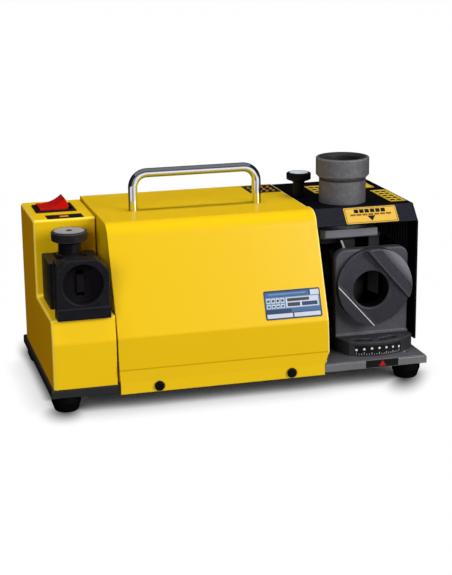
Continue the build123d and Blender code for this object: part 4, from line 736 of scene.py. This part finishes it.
# Setting gauge: a machined block, blackened and bolted on the ledge, with a locating pin, a sliding stop
# and a black knob with a turned aluminium disc on top.
gauge_black = finish(
    "gauge_black", (0.008, 0.008, 0.011), (0.017, 0.017, 0.022), 0.45, grain=1600, patch=90, relief=0.2, metallic=0.2,
    specular=0.2, edge_tone=(0.10, 0.10, 0.12), edge_width=0.0007, edge_gain=5,
)
gauge_tree = gauge_black.node_tree
gauge_bore = rings_about(gauge_tree, (-131.45, 0, 91.7), 1 * mm, lean=pi / 2)
in_bore = overlap(
    gauge_tree, ramp(gauge_tree, gauge_bore["Radius"], 16.3 * mm, 15.9 * mm),
    ramp(gauge_tree, object_axes(gauge_tree)["Y"], -82 * mm, -81 * mm),
)
tint(gauge_tree, in_bore, (0.013, 0.011, 0.013))
gauge_shader = gauge_tree.nodes["Principled BSDF"]
gauge_shine = gauge_shader.inputs["Roughness"].links[0].from_socket
gauge_tree.links.new(calculate(gauge_tree, "MAXIMUM", gauge_shine, in_bore), gauge_shader.inputs["Roughness"])
paint(gauge_black, "gauge_block")
# Painted shade: the stop has a darker copy of the gauge's black, so it sinks into the bore's shade.
gauge_stop_shaded_black = finish(
    "gauge_stop_shaded_black", (0.006, 0.006, 0.007), (0.010, 0.010, 0.012), 0.55, grain=1800, patch=90, relief=0.15,
    specular=0.1, edge_tone=(0.03, 0.03, 0.032), edge_width=0.0004,
)
paint(gauge_stop_shaded_black, "gauge_stop")
paint(black_steel, "gauge_pin", "gauge_spindle")
paint(plated_steel, "gauge_screws")
gauge_knob_black = finish(
    "gauge_knob_black", (0.010, 0.009, 0.011), (0.021, 0.019, 0.022), 0.34, grain=2400, patch=120, relief=0.15,
    specular=0.4, edge_tone=(0.30, 0.30, 0.32), edge_width=0.0006, edge_gain=8,
)
knob_tree = gauge_knob_black.node_tree
gauge_knob_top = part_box("gauge_knob")[1][2]
rim_foot = gauge_knob_top - 8 * mm
# Painted shade: the neck below the rim is tinted darker.
neck = ramp(knob_tree, object_axes(knob_tree)["Z"], rim_foot + 0.2 * mm, rim_foot - 0.2 * mm, 0, 0.85)
tint(knob_tree, neck, (0.003, 0.003, 0.004))
paint(gauge_knob_black, "gauge_knob")
turned_aluminium("gauge_cap_aluminium", (0.330, 0.345, 0.375), (-132.25, 55.5, 0), "gauge_knob_cap")


# Drill holder: swivel base, upright plate and cam disc, milled from steel and phosphated dark grey.
# Edges are rubbed bright, most of all the lower land's chamfer, where the chuck slides, and carry painted highlights.
phosphate = finish(
    "phosphate", (0.034, 0.032, 0.038), (0.058, 0.055, 0.064), 0.46, grain=2000, patch=320, relief=0.35,
    metallic=0.3, specular=0.35, edge_tone=(0.26, 0.26, 0.29), edge_width=0.0007, edge_gain=5,
)
paint(phosphate, "swivel_base")
# Painted light: the upright plate has a lighter copy of the phosphate.
plate_phosphate_lit = finish(
    "plate_phosphate_lit", (0.070, 0.069, 0.082), (0.115, 0.112, 0.130), 0.5, grain=2000, patch=300, relief=0.35,
    metallic=0.2, specular=0.35, edge_tone=(0.34, 0.34, 0.36), edge_width=0.0008, edge_gain=7,
)
paint(plate_phosphate_lit, "holder_plate")
paint(black_steel, "holder_screws", "swivel_pivot", "lock_screws")
disc_phosphate = finish(
    "disc_phosphate", (0.040, 0.039, 0.050), (0.088, 0.086, 0.108), 0.44, grain=2000, patch=420, relief=0.4,
    metallic=0.3, specular=0.35, edge_tone=(0.40, 0.40, 0.44), edge_width=0.0007, edge_gain=9,
)
disc_tree = disc_phosphate.node_tree
disc_place = disc_tree.nodes.new("ShaderNodeTexCoord")
disc_centre = Vector((120.6, 0, 60))
land_lean = radians(41.5)
land_line = Vector((cos(land_lean), 0, sin(land_lean)))
land_axis = land_line.dot(disc_centre * mm + row_shift)


def along_line(kind, direction):
    part = disc_tree.nodes.new("ShaderNodeVectorMath")
    part.operation = "DOT_PRODUCT"
    part.inputs[1].default_value = Vector(direction).normalized()
    disc_tree.links.new(disc_place.outputs[kind], part.inputs[0])
    return part.outputs["Value"]


def off_axis(start, full, strength=1):
    across_disc = along_line("Object", land_line)
    return ramp(disc_tree, across_disc, land_axis + start * mm, land_axis + full * mm, 0, strength)


def turned_to(direction, start, full):
    return ramp(disc_tree, along_line("Normal", direction), start, full)


chamfer_start, chamfer_full = 18.9, 19.4
# Painted shade: the disc outside the upper land is tinted darker, most towards the bottom.
shaded_lower_face = overlap(
    disc_tree, off_axis(chamfer_full, 18.6, 0.55), ramp(disc_tree, object_axes(disc_tree)["Z"], 104 * mm, 68 * mm),
)
# Painted light: the upper land's bevel facet is tinted lighter.
bevel_highlight = overlap(disc_tree, off_axis(27, 36), turned_to((0.29, -0.95, 0.14), 0.985, 0.998))
# The lands' chamfers are rubbed bright. The lower one's near-white tone is also a painted highlight.
upper_rim = overlap(disc_tree, off_axis(chamfer_start, chamfer_full), turned_to((-0.49, -0.70, -0.51), 0.94, 0.985))
lower_rim = overlap(disc_tree, off_axis(-chamfer_start, -chamfer_full), turned_to((0.49, -0.70, 0.51), 0.94, 0.985))
disc_rings = rings_about(disc_tree, disc_centre, 1 * mm, lean=pi / 2)
# Painted shade: the bore's wall is tinted nearly black.
bore_wall = overlap(
    disc_tree, ramp(disc_tree, disc_rings["Radius"], 16.4 * mm, 16.1 * mm), turned_to((0, -1, 0), 0.5, 0.3),
)
tint(disc_tree, shaded_lower_face, (0.027, 0.026, 0.034))
tint(disc_tree, bevel_highlight, (0.21, 0.21, 0.25))
tint(disc_tree, upper_rim, (0.20, 0.20, 0.22))
tint(disc_tree, lower_rim, (0.62, 0.61, 0.63))
tint(disc_tree, bore_wall, (0.004, 0.004, 0.005))
paint(disc_phosphate, "cam_disc")


# Angle scale: a black foil round the swivel base's front with white index dots and ticks,
# and a black pointer plate with a red arrow on the base plate's edge.
pivot = Vector((120.6, 57.3, 0)) * mm + row_shift
arc_radius = 48.2 * mm
arc_start, arc_sweep = radians(-25), radians(51)
foil_foot, foil_width, foil_wall = 8.2 * mm, 8.4 * mm, 0.15 * mm
foil_shape = bmesh.new()
foil_low = foil_shape.verts.new(pivot + Vector((sin(arc_start) * arc_radius, -cos(arc_start) * arc_radius, foil_foot)))
foil_high = foil_shape.verts.new(foil_low.co + Vector((0, 0, foil_width)))
foil_edge = foil_shape.edges.new((foil_low, foil_high))
bmesh.ops.spin(
    foil_shape, geom=[foil_edge, foil_low, foil_high], cent=pivot, axis=(0, 0, 1), angle=arc_sweep, steps=36,
)
bmesh.ops.recalc_face_normals(foil_shape, faces=foil_shape.faces)
bmesh.ops.solidify(foil_shape, geom=foil_shape.faces[:], thickness=-foil_wall)
bmesh.ops.recalc_face_normals(foil_shape, faces=foil_shape.faces)
scale_foil = mesh_piece("scale_foil", foil_shape, foil_black)
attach(scale_foil, "holder")


def on_foil(degrees, height):
    swing = Matrix.Translation(pivot) @ Matrix.Rotation(radians(degrees), 4, "Z")
    return swing @ Matrix.Translation((0, -arc_radius - foil_wall, height))


scale_white = ink("scale_white", (0.82, 0.83, 0.84))
dot_radius, dot_flatness, dot_pitch, middle_height, end_drop = 1.05 * mm, 0.25, 7.8, 14.0, 1.4
tick_width, tick_thickness, tick_foot, tick_pitch = 0.3 * mm, 0.12 * mm, 8.5 * mm, 2.6
long_tick, short_tick = 2.0 * mm, 1.1 * mm
marks_shape = bmesh.new()
for step in range(-3, 4):
    dot_height = (middle_height - end_drop * (step / 3) ** 2) * mm
    dot_place = on_foil(step * dot_pitch, dot_height) @ Matrix.Diagonal((1, dot_flatness, 1, 1))
    bmesh.ops.create_icosphere(marks_shape, subdivisions=2, radius=dot_radius, matrix=dot_place)
for step in range(-9, 10):
    tick_length = long_tick if step % 3 == 0 else short_tick
    tick_size = Matrix.Diagonal((tick_width, tick_thickness, tick_length, 1))
    tick_place = on_foil(step * tick_pitch, tick_foot + tick_length / 2)
    bmesh.ops.create_cube(marks_shape, size=1, matrix=tick_place @ tick_size)
bmesh.ops.recalc_face_normals(marks_shape, faces=marks_shape.faces)
scale_marks = mesh_piece("scale_marks", marks_shape, scale_white)
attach(scale_marks, "holder")
printed_plate(
    "pointer_plate", (105.4, 0, 0.4), sideways, upwards, 28.8, 6.2, 0.3, [], [foil_black],
)
arrow_red = ink("arrow_red", (0.50, 0.012, 0.014))
printed_arrow("pointer_arrow", arrow_red, (120, 0, 6.2), sideways, upwards, 3.2, 5.0)


# Floor: a pale matt studio floor that runs on behind the grinder without an edge.
# A painted shadow darkens it under the grinder and softly beside, behind and round the front feet.
floor_paint, floor_tree, floor_shader = new_material("floor_paint")
floor_ray = floor_tree.nodes.new("ShaderNodeLightPath")
floor_place = floor_tree.nodes.new("ShaderNodeTexCoord")
floor_cloud = floor_tree.nodes.new("ShaderNodeTexNoise")
floor_cloud.inputs["Scale"].default_value = 0.5
floor_tree.links.new(floor_place.outputs["Object"], floor_cloud.inputs["Vector"])
# Painted shadow: ambient occlusion darkens the floor's glow near the grinder.
floor_open = floor_tree.nodes.new("ShaderNodeAmbientOcclusion")
floor_open.samples = 16
floor_open.inputs["Distance"].default_value = 50 * mm
darkest, open_range, falloff = 0.1, 0.7, 0.8
front_open = calculate(
    floor_tree, "DIVIDE", calculate(floor_tree, "SUBTRACT", floor_open.outputs["AO"], darkest), open_range, clamp=True,
)
front_light = calculate(floor_tree, "POWER", front_open, falloff)
floor_axes = object_axes(floor_tree)


def past(value, start, length):
    return calculate(floor_tree, "DIVIDE", calculate(floor_tree, "SUBTRACT", value, start * mm), length * mm)


def reach(across, along):
    across_square = calculate(floor_tree, "POWER", calculate(floor_tree, "MAXIMUM", across, 0), 2)
    along_square = calculate(floor_tree, "POWER", calculate(floor_tree, "MAXIMUM", along, 0), 2)
    return calculate(floor_tree, "SQRT", calculate(floor_tree, "ADD", across_square, along_square))


# Painted shadow beside and behind the grinder, and round the front feet, by distance.
side_blur, back_blur = 17.5, 62
beside = calculate(
    floor_tree, "MAXIMUM", past(floor_axes["X"], 130, side_blur), past(floor_axes["X"], -152, -side_blur),
)
before_or_behind = calculate(
    floor_tree, "MAXIMUM", past(floor_axes["Y"], 82, back_blur), past(floor_axes["Y"], -38, -side_blur),
)
under_light = 0.05
side_light = ramp(floor_tree, reach(beside, before_or_behind), 0, 1, under_light, 1)
beyond_side = ramp(floor_tree, floor_axes["X"], -150 * mm, -186 * mm)
shade = calculate(floor_tree, "MINIMUM", calculate(floor_tree, "MAXIMUM", front_light, beyond_side), side_light)
foot_y, halo_width, halo_back = -67.4, 27, 24
for foot_x, halo_front, slant in ((-147.25, 44, 0.15), (145.75, 57, 0.41)):
    slanted = calculate(floor_tree, "MULTIPLY", floor_axes["Y"], slant)
    off_line = past(calculate(floor_tree, "SUBTRACT", floor_axes["X"], slanted), foot_x - slant * foot_y, halo_width)
    along = calculate(
        floor_tree, "MAXIMUM", past(floor_axes["Y"], foot_y, -halo_front), past(floor_axes["Y"], foot_y, halo_back),
    )
    halo = ramp(floor_tree, reach(calculate(floor_tree, "ABSOLUTE", off_line), along), 0, 1)
    shade = calculate(floor_tree, "MINIMUM", shade, halo)
cloud_low, cloud_high = 0.985, 1.015
floor_light = calculate(
    floor_tree, "MULTIPLY", shade, ramp(floor_tree, floor_cloud.outputs["Fac"], 0, 1, cloud_low, cloud_high),
)
floor_tree.links.new(
    calculate(floor_tree, "MULTIPLY", floor_light, floor_ray.outputs["Is Camera Ray"]),
    floor_shader.inputs["Emission Strength"],
)
floor_shader.inputs["Emission Color"].default_value = (1, 1, 1, 1)
bounce = 0.2
floor_tree.links.new(
    calculate(floor_tree, "MULTIPLY", floor_ray.outputs["Is Diffuse Ray"], bounce), floor_shader.inputs["Base Color"],
)
floor_shader.inputs["Roughness"].default_value = 0.8
floor_shader.inputs["Specular IOR Level"].default_value = 0
floor_shape = bmesh.new()
bmesh.ops.create_grid(floor_shape, x_segments=1, y_segments=1, size=20)
floor = mesh_piece("studio_floor", floor_shape, floor_paint)


# Studio light: a large soft key from the front right, a softbox above, weak fills from the left and behind
# that cast no highlights, and white cards that only the bright metal mirrors.
def light_group(name, *members):
    group = bpy.data.collections.new(name)
    for member in members:
        group.objects.link(nodes[member])
    return group


satin_metal = light_group(
    "satin_metal", "thinning_port_tube", "thinning_port_sleeve", "port_bracket", "base_plate", "gauge_knob_cap",
    "thinning_knob_cap",
)
chrome_only = light_group("chrome_only", "carry_handle")
not_chrome = light_group("not_chrome", "carry_handle")
not_chrome.collection_objects[0].light_linking.link_state = "EXCLUDE"


def softbox(name, place, target, width, height, power, mirrored=True, only=None, tone=(1, 1, 1)):
    light = bpy.data.objects.new(name, bpy.data.lights.new(name, "AREA"))
    light.data.shape = "RECTANGLE"
    light.data.size = width
    light.data.size_y = height
    light.data.energy = power
    light.data.color = tone
    light.location = place
    light.rotation_euler = (Vector(target) - Vector(place)).to_track_quat("-Z", "Y").to_euler()
    light.visible_camera = False
    light.visible_glossy = mirrored
    if only:
        light.light_linking.receiver_collection = only
    bpy.context.scene.collection.objects.link(light)


softbox("key", (1.18, -1.51, 0.92), (0, 0, 0.08), 1.1, 1.1, 29.5, only=not_chrome)
softbox("above", (0.0, 0.003, 1.6), (0, 0.003, 0.1), 1.6, 0.32, 17.2, mirrored=False)
softbox("left_fill", (-1.2, -1.65, 0.7), (0, 0, 0.08), 1.0, 1.0, 18.5, mirrored=False)
softbox("back_fill", (0.6, 2.0, 0.35), (0, 0, 0.08), 1.4, 0.6, 16, mirrored=False)
softbox("floor_card", (0, -1.7, 0.002), (0, -1.7, 1), 3.2, 2.8, 24, only=satin_metal)
softbox("sky_card", (0, -0.2, 2.0), (0, -0.2, 0), 2.6, 2.6, 5, only=satin_metal, tone=(0.72, 0.8, 1.0))
softbox("chrome_right", (1.0, -1.44, 0.002), (1.0, -1.44, 1), 2.0, 2.32, 10, only=chrome_only)
softbox("chrome_low_wall", (0.8, -2.7, 0.3), (0.8, 0, 0.3), 2.2, 0.6, 4, only=chrome_only)
softbox("chrome_left", (-1.1, -0.78, 0.002), (-1.1, -0.78, 1), 1.4, 1.45, 3.6, only=chrome_only)
softbox("chrome_floor", (0, -1.5, 0.001), (0, -1.5, 1), 5.0, 2.8, 8, only=chrome_only)
softbox("chrome_wall", (0, -2.9, 0.95), (0, 0, 0.95), 5.0, 1.7, 8, only=chrome_only, tone=(0.85, 0.9, 1.0))
softbox("chrome_sky", (0, -0.2, 2.2), (0, -0.2, 0), 4.0, 4.0, 10, only=chrome_only, tone=(0.8, 0.87, 1.0))
room = bpy.data.worlds.new("room")
room.use_nodes = True
room_ray = room.node_tree.nodes.new("ShaderNodeLightPath")
room_glow = room.node_tree.nodes["Background"]
room_glow.inputs["Color"].default_value = (1, 1, 1, 1)
dim = ramp(room.node_tree, room_ray.outputs["Is Glossy Ray"], 0, 1, 0.05, 0.02)
room.node_tree.links.new(
    calculate(room.node_tree, "MAXIMUM", dim, room_ray.outputs["Is Camera Ray"]), room_glow.inputs["Strength"],
)
bpy.context.scene.world = room
bpy.context.scene.view_settings.view_transform = "Standard"


# Camera: a long lens in front of the grinder's left half, looking slightly down,
# with the small roll that the photograph has.
camera_place = Vector((-0.31733, -1.18859, 0.40339))
camera_yaw = radians(15.196)
camera_pitch = radians(15.069)
camera_roll = radians(-0.638)
look = Vector((
    sin(camera_yaw) * cos(camera_pitch), cos(camera_yaw) * cos(camera_pitch), -sin(camera_pitch),
))
level = Vector((cos(camera_yaw), -sin(camera_yaw), 0))
upright = level.cross(look)
right = cos(camera_roll) * level + sin(camera_roll) * upright
up = -sin(camera_roll) * level + cos(camera_roll) * upright
camera = bpy.data.objects.new("camera", bpy.data.cameras.new("camera"))
camera.data.sensor_fit = "VERTICAL"
camera.data.sensor_height = 36
camera.data.lens = 92.458
camera.matrix_world = Matrix.Translation(camera_place) @ Matrix((right, up, -look)).transposed().to_4x4()
bpy.context.scene.collection.objects.link(camera)
bpy.context.scene.camera = camera
